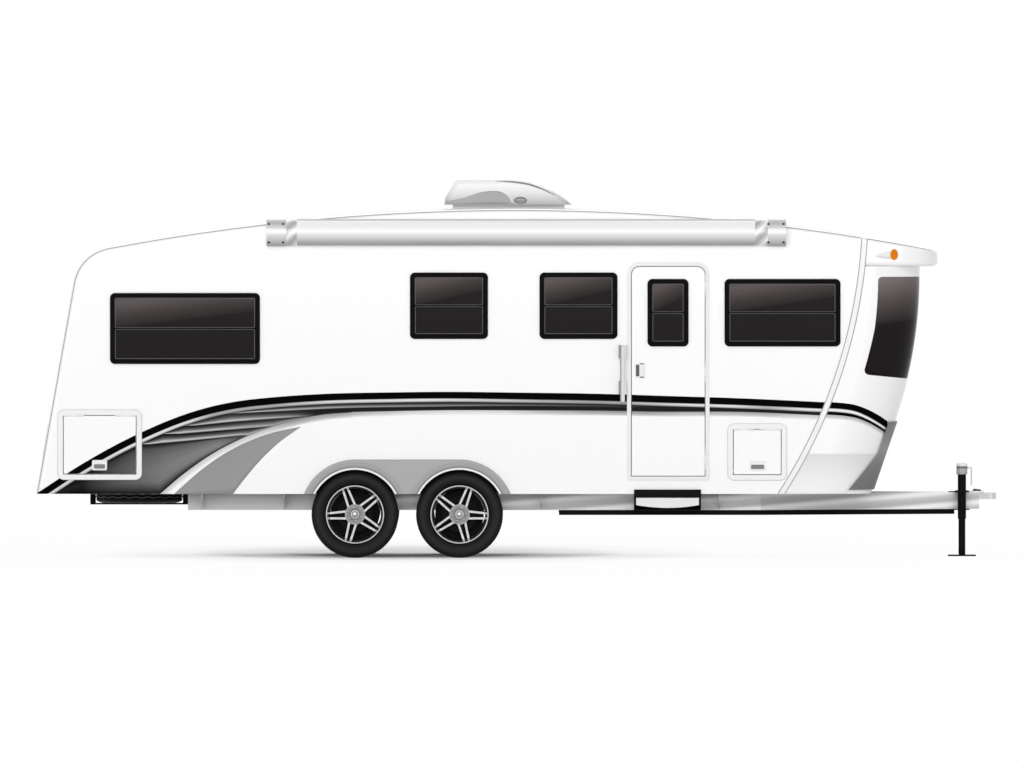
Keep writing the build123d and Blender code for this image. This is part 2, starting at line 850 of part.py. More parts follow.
with BuildPart() as door_frame:
    with BuildSketch(outside(0)):
        add(door_panel(0))
        add(door_panel(door_band), mode=Mode.SUBTRACT)
    extrude(amount=flange_proud)
    with BuildSketch(outside(0)):
        add(door_panel(flange_cover + jamb_clearance))
        add(door_panel(door_band), mode=Mode.SUBTRACT)
    extrude(amount=-wall_thickness)
    for height in door_hinge_heights:
        for shift in (-knuckle_length - knuckle_gap, knuckle_length + knuckle_gap):
            with Locations((door_axis_x, -half_width - axis_out, height + shift)):
                Cylinder(hinge_radius, knuckle_length)
            strap_y = -half_width - flange_proud - hinge_strap / 2
            with Locations((door_axis_x + hinge_strap_length / 2, strap_y, height + shift)):
                Box(hinge_strap_length, hinge_strap, knuckle_length)
save(door_frame, "door_frame")

with BuildPart() as door_leaf:
    with BuildSketch(outside(flange_proud)):
        add(door_panel(door_leaf_inset))
    extrude(amount=-leaf_thickness)
    door_window = (door_window_left, door_window_right, door_window_bottom, door_window_top)
    with BuildSketch(outside(flange_proud)):
        add(window_panel(door_window, window_cover))
    extrude(amount=-leaf_thickness, mode=Mode.SUBTRACT)
    for height in door_hinge_heights:
        with Locations((door_axis_x, -half_width - axis_out, height)):
            Cylinder(hinge_radius, knuckle_length)
        strap_y = -half_width - flange_proud - hinge_strap / 2
        with Locations((door_axis_x - hinge_strap_length / 2, strap_y, height)):
            Box(hinge_strap_length, hinge_strap, knuckle_length)
save(door_leaf, "door_leaf")

with BuildPart() as door_window_frame:
    with BuildSketch(outside(flange_proud)):
        add(window_panel(door_window, 0))
        add(window_panel(door_window, window_border), mode=Mode.SUBTRACT)
    extrude(amount=window_proud)
    with BuildSketch(outside(flange_proud)):
        add(window_panel(door_window, window_cover + jamb_clearance))
        add(window_panel(door_window, window_border), mode=Mode.SUBTRACT)
    extrude(amount=-leaf_thickness)
    with BuildSketch(outside(flange_proud + window_proud)):
        with Locations(((door_window_left + door_window_right) / 2,
                        (door_window_bottom + door_window_top) / 2)):
            Rectangle(door_window_right - door_window_left - window_border, window_bar)
    extrude(amount=-(glass_recess - jamb_clearance))
save(door_window_frame, "door_window_frame")

with BuildPart() as door_glass:
    with BuildSketch(outside(flange_proud + window_proud - glass_recess)):
        add(window_panel(door_window, window_border + jamb_clearance))
    extrude(amount=-glass_thickness)
save(door_glass, "door_glass")

with BuildPart() as door_latch:
    with BuildSketch(outside(flange_proud)):
        add(rounded_panel(latch_left, latch_right, latch_bottom, latch_top, latch_corner))
    extrude(amount=latch_proud)
    with BuildSketch(outside(flange_proud + latch_proud)):
        add(rounded_panel(latch_left + paddle_left_inset, latch_right - paddle_right_inset,
                          latch_bottom + paddle_end_inset, latch_top - paddle_end_inset, paddle_corner))
    extrude(amount=paddle_proud)
save(door_latch, "door_latch")

# Baggage hatches: one frame node for the four openings, and a leaf for each
axis_y = -half_width - axis_out
with BuildPart() as hatch_frames:
    for opening in hatch_openings:
        left, right, bottom, top = opening
        axis_z = top - hatch_band - leaf_gap / 2
        with BuildSketch(outside(0)):
            add(hatch_panel(opening, 0))
            add(hatch_panel(opening, hatch_band), mode=Mode.SUBTRACT)
        extrude(amount=flange_proud)
        with BuildSketch(outside(0)):
            add(hatch_panel(opening, flange_cover + jamb_clearance))
            add(hatch_panel(opening, hatch_band), mode=Mode.SUBTRACT)
        extrude(amount=-wall_thickness)
        for hinge_x in (left + hatch_hinge_inset, right - hatch_hinge_inset):
            for shift in (-knuckle_length - knuckle_gap, knuckle_length + knuckle_gap):
                with Locations(Plane((hinge_x + shift, axis_y, axis_z), z_dir=(1, 0, 0))):
                    Cylinder(hinge_radius, knuckle_length)
                strap_y = -half_width - flange_proud - hinge_strap / 2
                with Locations((hinge_x + shift, strap_y, axis_z + hinge_strap_length / 2)):
                    Box(knuckle_length, hinge_strap, hinge_strap_length)
    mirror(about=Plane.XZ)
save(hatch_frames, "hatch_frames")


def hatch_leaf(row):
    """Leaf of a right-hand hatch with its knuckles and its paddle latch."""
    _, left, right, bottom, top, latch_ahead, latch_half = row
    latch_start = (left + right) / 2 + latch_ahead - latch_half
    latch_end = latch_start + 2 * latch_half
    opening = (left, right, bottom, top)
    inset = hatch_band + leaf_gap
    axis_z = top - hatch_band - leaf_gap / 2
    latch_low = bottom + inset + hatch_latch_rise
    with BuildPart() as leaf:
        with BuildSketch(outside(flange_proud)):
            add(hatch_panel(opening, inset))
        extrude(amount=-leaf_thickness)
        for hinge_x in (left + hatch_hinge_inset, right - hatch_hinge_inset):
            with Locations(Plane((hinge_x, axis_y, axis_z), z_dir=(1, 0, 0))):
                Cylinder(hinge_radius, knuckle_length)
            strap_y = -half_width - flange_proud - hinge_strap / 2
            with Locations((hinge_x, strap_y, axis_z - hinge_strap_length / 2)):
                Box(knuckle_length, hinge_strap, hinge_strap_length)
        with BuildSketch(outside(flange_proud)):
            add(rounded_panel(latch_start, latch_end, latch_low, latch_low + hatch_latch_height,
                              hatch_latch_corner))
        extrude(amount=hatch_latch_proud)
        paddle_low = latch_low + hatch_paddle_rise
        with BuildSketch(outside(flange_proud + hatch_latch_proud)):
            add(rounded_panel(latch_start + hatch_paddle_side, latch_end - hatch_paddle_side, paddle_low,
                              paddle_low + hatch_paddle_height, hatch_paddle_corner))
        extrude(amount=hatch_paddle_proud)
    return leaf


for row in hatch_table:
    right_leaf = hatch_leaf(row)
    save(right_leaf, f"hatch_{row[0]}_right")
    with BuildPart() as left_leaf:
        mirror(right_leaf.part, about=Plane.XZ)
    save(left_leaf, f"hatch_{row[0]}_left")

# Chassis rails, open channels with their webs outwards
with BuildPart() as main_rails:
    with BuildSketch(Plane.YZ.offset(rail_rear_x)):
        with Locations((-(rail_outer_y + rail_inner_y) / 2, (rail_top + rail_bottom) / 2)):
            Rectangle(rail_width, rail_top - rail_bottom)
        with Locations((-(rail_outer_y + rail_inner_y) / 2 + rail_web, (rail_top + rail_bottom) / 2)):
            Rectangle(rail_width, rail_top - rail_bottom - 2 * rail_web, mode=Mode.SUBTRACT)
    extrude(amount=drawbar_start_x - rail_rear_x)
    mirror(about=Plane.XZ)
save(main_rails, "main_rails")

drawbar_slope = ((rail_outer_y + rail_inner_y) / 2 - drawbar_tip_y) / (drawbar_tip_x - drawbar_start_x)


def drawbar_y(x):
    """Middle of a drawbar rail, measured from the middle plane."""
    return drawbar_tip_y + (drawbar_tip_x - x) * drawbar_slope


jack_y = -drawbar_y(jack_x) - jack_reach

# Drawbar rails, box tubes that run in to the coupler
with BuildPart() as drawbar_rails:
    with BuildSketch(Plane.XY.offset(rail_bottom)):
        Polygon((drawbar_start_x, -drawbar_y(drawbar_start_x) - rail_width / 2),
                (drawbar_tip_x, -drawbar_tip_y - rail_width / 2),
                (drawbar_tip_x, -drawbar_tip_y + rail_width / 2),
                (drawbar_start_x, -drawbar_y(drawbar_start_x) + rail_width / 2), align=None)
    extrude(amount=rail_top - rail_bottom)
    mirror(about=Plane.XZ)
save(drawbar_rails, "drawbar_rails")

# Lower rails under the drawbar and the forward chassis
with BuildPart() as drawbar_lower_rails:
    with BuildSketch(Plane.XY.offset(rail_bottom)):
        lower_half = rail_width / 2 - lower_rail_inset
        bend_y = drawbar_y(drawbar_start_x)
        end_y = drawbar_y(lower_rail_end_x)
        Polygon((lower_rail_start_x, -bend_y - lower_half), (drawbar_start_x, -bend_y - lower_half),
                (lower_rail_end_x, -end_y - lower_half), (lower_rail_end_x, -end_y + lower_half),
                (drawbar_start_x, -bend_y + lower_half), (lower_rail_start_x, -bend_y + lower_half),
                align=None)
    extrude(amount=-lower_rail_height)
    mirror(about=Plane.XZ)
save(drawbar_lower_rails, "drawbar_lower_rails")

# Cross members and outriggers under the floor, with the cradle of the spare wheel
with BuildPart() as cross_members:
    for place in cross_member_places:
        with Locations((place, 0, rail_top - cross_member_height / 2)):
            Box(cross_member_width, 2 * rail_inner_y, cross_member_height)
    with BuildSketch(Plane.XZ):
        with Locations(((carrier_left + carrier_right) / 2, carrier_bottom + carrier_thickness / 2)):
            Rectangle(carrier_right - carrier_left, carrier_thickness)
        for end_x in (carrier_left + carrier_end / 2, carrier_right - carrier_end / 2):
            with Locations((end_x, (carrier_bottom + body_bottom) / 2)):
                Rectangle(carrier_end, body_bottom - carrier_bottom)
    extrude(amount=carrier_width / 2, both=True)
save(cross_members, "cross_members")

with BuildPart() as outriggers:
    for place in outrigger_places:
        with BuildSketch(Plane.YZ.offset(place)):
            Polygon((-rail_outer_y, rail_top), (-rail_outer_y, rail_bottom + rail_web),
                    (-inner_half, rail_top - outrigger_tip), (-inner_half, rail_top), align=None)
        extrude(amount=outrigger_thickness)
    mirror(about=Plane.XZ)
save(outriggers, "outriggers")

# Drawbar plates, each with a tab outside the right rail that holds the tongue jack
with BuildPart() as drawbar_plates:
    plate_rows = ((upper_plate_rear_x, rail_top), (lower_plate_rear_x, rail_bottom - plate_thickness))
    for rear_x, level in plate_rows:
        front_x = drawbar_tip_x - coupler_half
        with BuildSketch(Plane.XY.offset(level)):
            reach = rail_width / 2
            Polygon((rear_x, -drawbar_y(rear_x) - reach), (front_x, -drawbar_y(front_x) - reach),
                    (front_x, drawbar_y(front_x) + reach), (rear_x, drawbar_y(rear_x) + reach), align=None)
            with Locations((jack_x, jack_y / 2 - jack_tab_half / 2)):
                Rectangle(2 * jack_tab_half, jack_tab_half - jack_y)
            with Locations((jack_x, jack_y)):
                Circle(jack_tube_radius + jamb_clearance, mode=Mode.SUBTRACT)
        extrude(amount=plate_thickness)
save(drawbar_plates, "drawbar_plates")

# Coupler with a round socket for the ball, open below
with BuildPart() as coupler:
    ball_x = coupler_tip_x - coupler_nose_radius
    with BuildSketch(Plane.XY.offset(coupler_bottom)):
        with Locations((ball_x, 0)):
            Circle(coupler_nose_radius)
        Polygon((drawbar_tip_x, -coupler_half), (ball_x, -coupler_nose_radius),
                (ball_x, coupler_nose_radius), (drawbar_tip_x, coupler_half), align=None)
    extrude(amount=coupler_top - coupler_bottom)
    with BuildSketch(Plane.XY.offset(rail_top)):
        with Locations((drawbar_tip_x - coupler_half / 2 + saddle_shift, 0)):
            RectangleRounded(coupler_half + saddle_reach, saddle_width, saddle_corner)
    extrude(amount=plate_thickness)
    with BuildSketch(Plane.XY.offset(coupler_top)):
        with Locations((drawbar_tip_x + coupler_block_length / 2, 0)):
            Rectangle(coupler_block_length, coupler_block_width)
    extrude(amount=rail_top - coupler_top + plate_thickness)
    with BuildSketch(Plane.XY.offset(coupler_bottom)):
        with Locations((ball_x, 0)):
            Circle(ball_socket_radius)
    extrude(amount=socket_straight, mode=Mode.SUBTRACT)
    with Locations((ball_x, 0, coupler_bottom + socket_straight)):
        Sphere(ball_socket_radius, mode=Mode.SUBTRACT)
save(coupler, "coupler")

with BuildPart() as coupler_latch:
    with BuildSketch(Plane.XZ):
        latch_base = rail_top + plate_thickness
        Polygon(*[(drawbar_tip_x + ahead, latch_base + rise) for ahead, rise in coupler_latch_outline],
                align=None)
    extrude(amount=coupler_latch_half, both=True)
save(coupler_latch, "coupler_latch")

# Tongue jack outside the right drawbar rail: fixed tube, head with its crank, sliding leg with its foot
with BuildPart() as jack_tube:
    with BuildSketch(Plane.XY.offset(jack_tube_bottom)):
        with Locations((jack_x, jack_y)):
            Circle(jack_tube_radius)
            Circle(jack_bore_radius, mode=Mode.SUBTRACT)
    extrude(amount=jack_head_bottom - jack_tube_bottom)
    with BuildSketch(Plane.XY.offset(rail_top + plate_thickness)):
        with Locations((jack_x, jack_y)):
            Circle(jack_flange_radius)
            Circle(jack_bore_radius, mode=Mode.SUBTRACT)
    extrude(amount=plate_thickness)
save(jack_tube, "jack_tube")

with BuildPart() as jack_head:
    with BuildSketch(Plane.XY.offset(jack_head_bottom)):
        with Locations((jack_x, jack_y)):
            Circle(jack_head_radius)
    extrude(amount=jack_head_top - jack_head_bottom)
    fillet(jack_head.edges().group_by(Axis.Z)[-1], jack_head_edge)
    with BuildSketch(Plane.XY.offset(jack_head_bottom)):
        with Locations((jack_x, jack_y)):
            Circle(jack_bore_radius)
    extrude(amount=jack_head_top - jack_head_bottom - jack_head_lid, mode=Mode.SUBTRACT)
    crank_root_x = jack_x + jack_bore_radius + crank_radius
    crank_bend_x = jack_x + crank_reach
    with Locations(Plane(((crank_root_x + crank_bend_x) / 2, jack_y, crank_height), z_dir=(1, 0, 0))):
        Cylinder(crank_radius, crank_bend_x - crank_root_x)
    with Locations((crank_bend_x, jack_y, crank_height)):
        Sphere(crank_radius)
    with Locations((crank_bend_x, jack_y, crank_height - crank_drop / 2)):
        Cylinder(crank_radius, crank_drop)
save(jack_head, "jack_head")

with BuildPart() as jack_leg:
    with BuildSketch(Plane.XY.offset(jack_foot_thickness)):
        with Locations((jack_x, jack_y)):
            Circle(jack_leg_radius)
    extrude(amount=jack_leg_top - jack_foot_thickness)
    with BuildSketch(Plane.XY):
        with Locations((jack_x, jack_y)):
            RectangleRounded(jack_foot_length, jack_foot_width, jack_foot_corner)
    extrude(amount=jack_foot_thickness)
save(jack_leg, "jack_leg")

# Torsion axles: square beam under the rails, trailing arms, spindles and brake plates
with BuildPart() as axles:
    for axle_x in axle_places:
        beam_x = axle_x + arm_length
        beam_z = rail_bottom - axle_beam / 2
        arm_outer = rail_outer_y + arm_thickness * 2
        with Locations((beam_x, 0, beam_z)):
            Box(axle_beam, 2 * (arm_outer - arm_thickness), axle_beam)
        for side in (-1, 1):
            with BuildSketch(Plane.XZ.offset(-side * (arm_outer - arm_thickness))):
                with Locations((beam_x, beam_z), (axle_x, tyre_radius)):
                    Circle(axle_beam / 2)
                Polygon((beam_x, beam_z - axle_beam / 2), (beam_x, beam_z + axle_beam / 2),
                        (axle_x, tyre_radius + axle_beam / 2), (axle_x, tyre_radius - axle_beam / 2),
                        align=None)
            extrude(amount=-side * arm_thickness)
            with BuildSketch(Plane.XZ.offset(-side * (arm_outer - arm_thickness / 2))):
                with Locations((axle_x, tyre_radius)):
                    Circle(spindle_radius)
            spindle_end = wheel_track_half + hub_seat - spindle_end_gap
            extrude(amount=-side * (spindle_end - arm_outer + arm_thickness / 2))
            with BuildSketch(Plane.XZ.offset(-side * (wheel_track_half + drum_back - brake_plate_setback))):
                with Locations((axle_x, tyre_radius)):
                    Circle(brake_plate_radius)
            extrude(amount=-side * brake_plate_thickness)
save(axles, "axles")


# Wheels: tyre, cast rim with five spoke pairs, and brake drum
def wheel_plane(row, out):
    """Plane across the wheel's axle, out from the middle of the tyre."""
    _, axle_x, side, _ = row
    return Plane((axle_x, side * (wheel_track_half + out), tyre_radius), x_dir=(1, 0, 0), z_dir=(0, side, 0))


def section_plane(row):
    """Plane through the axle: local x is the radius, local y points to the left side."""
    _, axle_x, side, _ = row
    return Plane((axle_x, side * wheel_track_half, tyre_radius), x_dir=(1, 0, 0), z_dir=(0, 0, 1))


def axle_axis(row):
    """Line of the axle."""
    _, axle_x, side, _ = row
    return Axis((axle_x, side * wheel_track_half, tyre_radius), (0, 1, 0))


for row in wheel_table:
    name, axle_x, side, turn = row
    with BuildPart() as tyre:
        with BuildSketch(section_plane(row)):
            with BuildLine():
                seat = rim_seat_radius + seat_clearance
                shoulder = tyre_half_width - tyre_shoulder_drop
                corner = shoulder + tyre_corner_spread
                flank = tyre_half_width - tyre_side_inset
                Polyline((rim_radius, tyre_bead), (seat, tyre_bead), (seat, -tyre_bead),
                         (rim_radius, -tyre_bead))
                ThreePointArc((rim_radius, -tyre_bead), (tyre_wide_radius, -tyre_half_width),
                              (tyre_side_radius, -flank))
                ThreePointArc((tyre_side_radius, -flank), (tyre_corner_radius, -corner),
                              (tyre_radius, -shoulder))
                Line((tyre_radius, -shoulder), (tyre_radius, shoulder))
                ThreePointArc((tyre_radius, shoulder), (tyre_corner_radius, corner),
                              (tyre_side_radius, flank))
                ThreePointArc((tyre_side_radius, flank), (tyre_wide_radius, tyre_half_width),
                              (rim_radius, tyre_bead))
            make_face()
        revolve(axis=axle_axis(row))
    save(tyre, f"tyre_{name}")

    with BuildPart() as rim:
        lip = tyre_bead + jamb_clearance
        with BuildSketch(section_plane(row)):
            Polygon((rim_bore_radius, -side * rim_half_width), (rim_radius, -side * rim_half_width),
                    (rim_radius, -side * lip), (rim_seat_radius, -side * lip), (rim_seat_radius, side * lip),
                    (rim_radius, side * lip), (rim_radius, side * rim_half_width),
                    (rim_radius - rim_ring, side * rim_half_width), (rim_bore_radius, side * lip), align=None)
        revolve(axis=axle_axis(row))
        with BuildSketch(wheel_plane(row, hub_seat)):
            Circle(hub_disc_radius)
        extrude(amount=hub_face - hub_seat)
        with BuildSketch(wheel_plane(row, hub_face)):
            Circle(centre_cap_radius)
        extrude(amount=centre_cap_height)
        with BuildSketch(wheel_plane(row, spoke_face - spoke_depth)):
            with PolarLocations(0, spoke_pairs, start_angle=turn):
                for offset in (-1, 1):
                    root_y = offset * spoke_hub_spread
                    tip_y = offset * spoke_rim_spread
                    tip_x = rim_bore_radius + spoke_bite
                    Polygon((spoke_root_radius, root_y - spoke_width / 2),
                            (spoke_root_radius, root_y + spoke_width / 2),
                            (tip_x, tip_y + spoke_width / 2), (tip_x, tip_y - spoke_width / 2), align=None)
        extrude(amount=spoke_depth)
    save(rim, f"rim_{name}")

    with BuildPart() as drum:
        bore = spindle_radius + spindle_clearance
        inner = hub_seat - drum_face
        with BuildSketch(section_plane(row)):
            Polygon((bore, side * hub_seat), (drum_radius, side * hub_seat), (drum_radius, side * drum_back),
                    (drum_radius - drum_wall, side * drum_back), (drum_radius - drum_wall, side * inner),
                    (bore + drum_hub, side * inner), (bore + drum_hub, side * drum_back),
                    (bore, side * drum_back), align=None)
        revolve(axis=axle_axis(row))
    save(drum, f"drum_{name}")

# Spare wheel in its pocket
with BuildPart() as spare_tyre:
    with BuildSketch(Plane.XZ):
        with BuildLine():
            bead_x = spare_x + spare_rim_radius
            wide_x = spare_x + spare_wide_radius
            side_x = spare_x + spare_radius - spare_side_inset
            corner_x = spare_x + spare_radius - spare_corner_inset
            tread_x = spare_x + spare_radius
            Line((bead_x, spare_bottom + spare_bead_drop), (bead_x, spare_top - spare_bead_drop))
            ThreePointArc((bead_x, spare_top - spare_bead_drop), (wide_x, spare_top),
                          (side_x, spare_top - spare_side_drop))
            ThreePointArc((side_x, spare_top - spare_side_drop), (corner_x, spare_top - spare_corner_drop),
                          (tread_x, spare_top - spare_tread_drop))
            Line((tread_x, spare_top - spare_tread_drop), (tread_x, spare_bottom + spare_tread_drop))
            ThreePointArc((tread_x, spare_bottom + spare_tread_drop),
                          (corner_x, spare_bottom + spare_corner_drop),
                          (side_x, spare_bottom + spare_side_drop))
            ThreePointArc((side_x, spare_bottom + spare_side_drop), (wide_x, spare_bottom),
                          (bead_x, spare_bottom + spare_bead_drop))
        make_face()
    revolve(axis=Axis((spare_x, 0, 0), (0, 0, 1)))
save(spare_tyre, "spare_tyre")

with BuildPart() as spare_rim:
    with BuildSketch(Plane.XY.offset(carrier_bottom + carrier_thickness)):
        with Locations((spare_x, 0)):
            Circle(spare_rim_radius - seat_clearance)
    extrude(amount=spare_top - spare_rim_drop - carrier_bottom - carrier_thickness)
save(spare_rim, "spare_rim")

# Entry step: housing under the doorway and a tread that slides out
with BuildPart() as step_housing:
    step_width = step_right - step_left
    front_y = -half_width - step_proud
    back_y = front_y + step_depth
    with Locations(((step_left + step_right) / 2, (front_y + back_y) / 2, (step_bottom + body_bottom) / 2)):
        Box(step_width, step_depth, body_bottom - step_bottom)
    with Locations(((step_left + step_right) / 2, front_y + step_proud / 2,
                    (body_bottom + step_lip_top) / 2)):
        Box(step_width, step_proud, step_lip_top - body_bottom)
    with Locations(((step_left + step_right) / 2, front_y + (step_depth - step_wall) / 2,
                    (step_bottom + step_wall + tread_top + step_clearance) / 2)):
        Box(step_width - 2 * step_wall, step_depth - step_wall,
            tread_top + step_clearance - step_bottom - step_wall, mode=Mode.SUBTRACT)
    runner_top = tread_top - tread_thickness - runner_clearance
    for runner_x in (step_left + step_wall + runner_width / 2, step_right - step_wall - runner_width / 2):
        with Locations((runner_x, (front_y + runner_setback + back_y) / 2, runner_top - runner_height / 2)):
            Box(runner_width, step_depth - runner_setback, runner_height)
save(step_housing, "step_housing")

with BuildPart() as step_tread:
    tread_left = step_left + step_wall + step_clearance
    tread_right = step_right - step_wall - step_clearance
    tread_front_y = -half_width - step_proud + tread_setback
    with Locations(((tread_left + tread_right) / 2, tread_front_y + tread_depth / 2,
                    tread_top - tread_thickness / 2)):
        Box(tread_right - tread_left, tread_depth, tread_thickness)
    with BuildSketch(Plane.XZ.offset(-tread_front_y)):
        with BuildLine():
            Polyline((tread_left, tread_top - nosing_end_drop), (tread_left, tread_top),
                     (tread_right, tread_top), (tread_right, tread_top - nosing_end_drop))
            ThreePointArc((tread_right, tread_top - nosing_end_drop),
                          ((tread_left + tread_right) / 2, tread_top - nosing_mid_drop),
                          (tread_left, tread_top - nosing_end_drop))
        make_face()
    extrude(amount=-nosing_thickness)
save(step_tread, "step_tread")


# Awning cassette on the right wall, with an end cap and a bright section at each end
def awning_profile(over):
    """Section of the cassette: flat back, round front."""
    back = -half_width
    with BuildSketch() as profile:
        with BuildLine():
            Polyline((back - awning_foot, awning_bottom - over),
                     (back, awning_bottom + awning_foot_rise - over),
                     (back, awning_top - awning_head_drop + over), (back - awning_head, awning_top + over))
            ThreePointArc((back - awning_head, awning_top + over),
                          (back - awning_depth - over, (awning_top + awning_bottom) / 2 + awning_bulge_rise),
                          (back - awning_foot, awning_bottom - over))
        make_face()
    return profile.sketch


with BuildPart() as awning_case:
    with BuildSketch(Plane.YZ.offset(awning_case_rear)):
        add(awning_profile(0))
    extrude(amount=awning_case_front - awning_case_rear)
save(awning_case, "awning_case")

with BuildPart() as awning_ends:
    for case_end, outer_end in ((awning_case_rear, awning_rear), (awning_case_front, awning_front)):
        toward = 1.0 if outer_end > case_end else -1.0
        cap_start = outer_end - toward * awning_cap_length
        with BuildSketch(Plane.YZ.offset(case_end)):
            add(awning_profile(0))
        extrude(amount=cap_start - case_end)
        with BuildSketch(Plane.YZ.offset(cap_start)):
            add(awning_profile(awning_cap_over))
        extrude(amount=outer_end - cap_start)
save(awning_ends, "awning_ends")

# Grab handle beside the door
with BuildPart() as grab_handle:
    with Locations((handle_x, -half_width - handle_reach, (handle_bottom + handle_top) / 2)):
        Cylinder(handle_radius, handle_top - handle_bottom)
    fillet(grab_handle.edges(), handle_end_radius)
    for height in handle_brackets:
        with Locations((handle_x, -half_width - handle_reach / 2, height)):
            Box(handle_bracket_width, handle_reach, handle_bracket_height)
save(grab_handle, "grab_handle")

# Roof unit: base on the roof skin and its streamlined shroud
with BuildPart() as roof_unit_base:
    with BuildSketch(Plane.XZ):
        with BuildLine():
            Polyline((roof_base_front, roof_height(roof_base_front)), (roof_base_front, roof_unit_base_top),
                     (roof_base_rear, roof_unit_base_top), (roof_base_rear, roof_height(roof_base_rear)))
            ThreePointArc((roof_base_rear, roof_height(roof_base_rear)),
                          roof_middle(roof_base_rear, roof_base_front),
                          (roof_base_front, roof_height(roof_base_front)))
        make_face()
    extrude(amount=roof_base_half, both=True)
save(roof_unit_base, "roof_unit_base")

with BuildPart() as roof_unit_shroud:
    with BuildSketch(Plane.XZ):
        with BuildLine():
            Polyline((roof_unit_front, roof_unit_base_top), (roof_unit_rear, roof_unit_base_top),
                     (roof_unit_rear + shroud_tail_lean, roof_unit_base_top + shroud_tail_rise),
                     (roof_unit_rear + shroud_top_rear, roof_unit_top),
                     (roof_unit_rear + shroud_top_front, roof_unit_top))
            ThreePointArc((roof_unit_rear + shroud_top_front, roof_unit_top),
                          (roof_unit_front - shroud_nose_back, roof_unit_top - shroud_nose_drop),
                          (roof_unit_front, roof_unit_base_top))
        make_face()
    extrude(amount=roof_unit_half, both=True)
    shroud_edges = [
        e for e in roof_unit_shroud.edges()
        if abs(e.center().Y) > roof_unit_half - 1 and e.center().Z > roof_unit_base_top + 1
    ]
    fillet(shroud_edges, shroud_edge_radius)
save(roof_unit_shroud, "roof_unit_shroud")

# Marker lamps on the brow, tail lamps on the rear wall
with BuildPart() as marker_lamps:
    with BuildSketch(outside(0)):
        with Locations((marker_x, marker_z)):
            Ellipse(marker_length / 2, marker_height / 2)
    extrude(amount=marker_proud)
    mirror(about=Plane.XZ)
save(marker_lamps, "marker_lamps")

with BuildPart() as tail_lamps:
    for side in (-1, 1):
        with BuildSketch(tail_lamp_plane(side).offset(tail_lamp_proud)):
            add(tail_lamp_panel(0))
        extrude(amount=-(tail_lamp_depth + tail_lamp_proud))
save(tail_lamps, "tail_lamps")
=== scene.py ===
import math

import bmesh
import bpy
import numpy as np
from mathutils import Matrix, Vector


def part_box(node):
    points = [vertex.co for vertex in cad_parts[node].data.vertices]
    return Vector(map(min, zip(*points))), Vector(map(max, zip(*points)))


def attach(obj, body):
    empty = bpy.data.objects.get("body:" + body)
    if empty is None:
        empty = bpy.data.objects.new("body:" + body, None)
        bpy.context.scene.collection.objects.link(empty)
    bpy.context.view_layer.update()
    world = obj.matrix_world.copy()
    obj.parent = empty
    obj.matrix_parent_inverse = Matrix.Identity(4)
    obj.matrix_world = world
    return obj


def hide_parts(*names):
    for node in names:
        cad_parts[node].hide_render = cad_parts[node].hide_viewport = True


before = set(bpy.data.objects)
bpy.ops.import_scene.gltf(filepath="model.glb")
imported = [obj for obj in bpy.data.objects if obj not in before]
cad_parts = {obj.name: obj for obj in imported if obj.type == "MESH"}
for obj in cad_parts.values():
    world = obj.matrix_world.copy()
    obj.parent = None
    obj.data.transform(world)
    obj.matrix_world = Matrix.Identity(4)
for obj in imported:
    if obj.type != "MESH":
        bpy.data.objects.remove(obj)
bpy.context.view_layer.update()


# Chassis: side rails, outriggers and drawbar of pressed steel in silver paint, with painted highlights in
# long slanted bands on their front part, and the lower rails, cross members and axles in black. All is welded
# up before the body is set on it.
def tone(red, green, blue):
    """Linear colour of a display colour given in 0 to 255, by the standard display curve."""
    display = np.array([red, green, blue], float) / 255.0
    linear = np.where(display <= 0.04045, display / 12.92, ((display + 0.055) / 1.055) ** 2.4)
    return (*linear.tolist(), 1.0)


def grey(level):
    """Linear colour of a neutral display grey."""
    return tone(level, level, level)


def even(share):
    """Linear colour with one share in all its channels."""
    return (share, share, share, 1.0)


def add_node(tree, kind, inputs=None, **settings):
    """New shader node of a kind with its settings. Each input is led from a socket or set to a value."""
    node = tree.nodes.new("ShaderNode" + kind)
    for name, value in settings.items():
        setattr(node, name, value)
    for name, value in (inputs or {}).items():
        if isinstance(value, bpy.types.NodeSocket):
            tree.links.new(value, node.inputs[name])
        else:
            node.inputs[name].default_value = value
    return node


def object_place(tree):
    """Place on the piece in its own coordinates."""
    return add_node(tree, "TexCoord").outputs["Object"]


def finish(name, colour, roughness, metallic=0.0, coat=0.0, specular=0.5, mottle=0.05, patch=2.0,
           grain=300.0, relief=0.0):
    """Principled finish on Object coordinates: a broad noise shades the colour and the gloss by mottle,
    and a fine noise of the given grain lifts the surface by relief metres."""
    material = bpy.data.materials.new(name)
    material.use_nodes = True
    tree = material.node_tree
    shader = tree.nodes["Principled BSDF"].inputs
    shader["Metallic"].default_value = metallic
    shader["Coat Weight"].default_value = coat
    shader["Specular IOR Level"].default_value = specular
    at = object_place(tree)
    broad = add_node(tree, "TexNoise", {"Vector": at, "Scale": patch, "Detail": 5.0}).outputs["Fac"]
    dark = (*[c * (1.0 - mottle) for c in colour[:3]], 1.0)
    pale = (*[min(c * (1.0 + mottle), 1.0) for c in colour[:3]], 1.0)
    shade = add_node(tree, "Mix", {"Factor": broad, "A": dark, "B": pale}, data_type="RGBA", name="shade")
    tree.links.new(shade.outputs["Result"], shader["Base Color"])
    gloss = add_node(tree, "MapRange", {"Value": broad, "To Min": roughness * 0.85,
                                        "To Max": min(roughness * 1.15, 1.0)})
    tree.links.new(gloss.outputs["Result"], shader["Roughness"])
    if relief:
        fine = add_node(tree, "TexNoise", {"Vector": at, "Scale": grain, "Detail": 3.0})
        bump = add_node(tree, "Bump", {"Distance": relief, "Height": fine.outputs["Fac"]})
        tree.links.new(bump.outputs["Normal"], shader["Normal"])
    return material


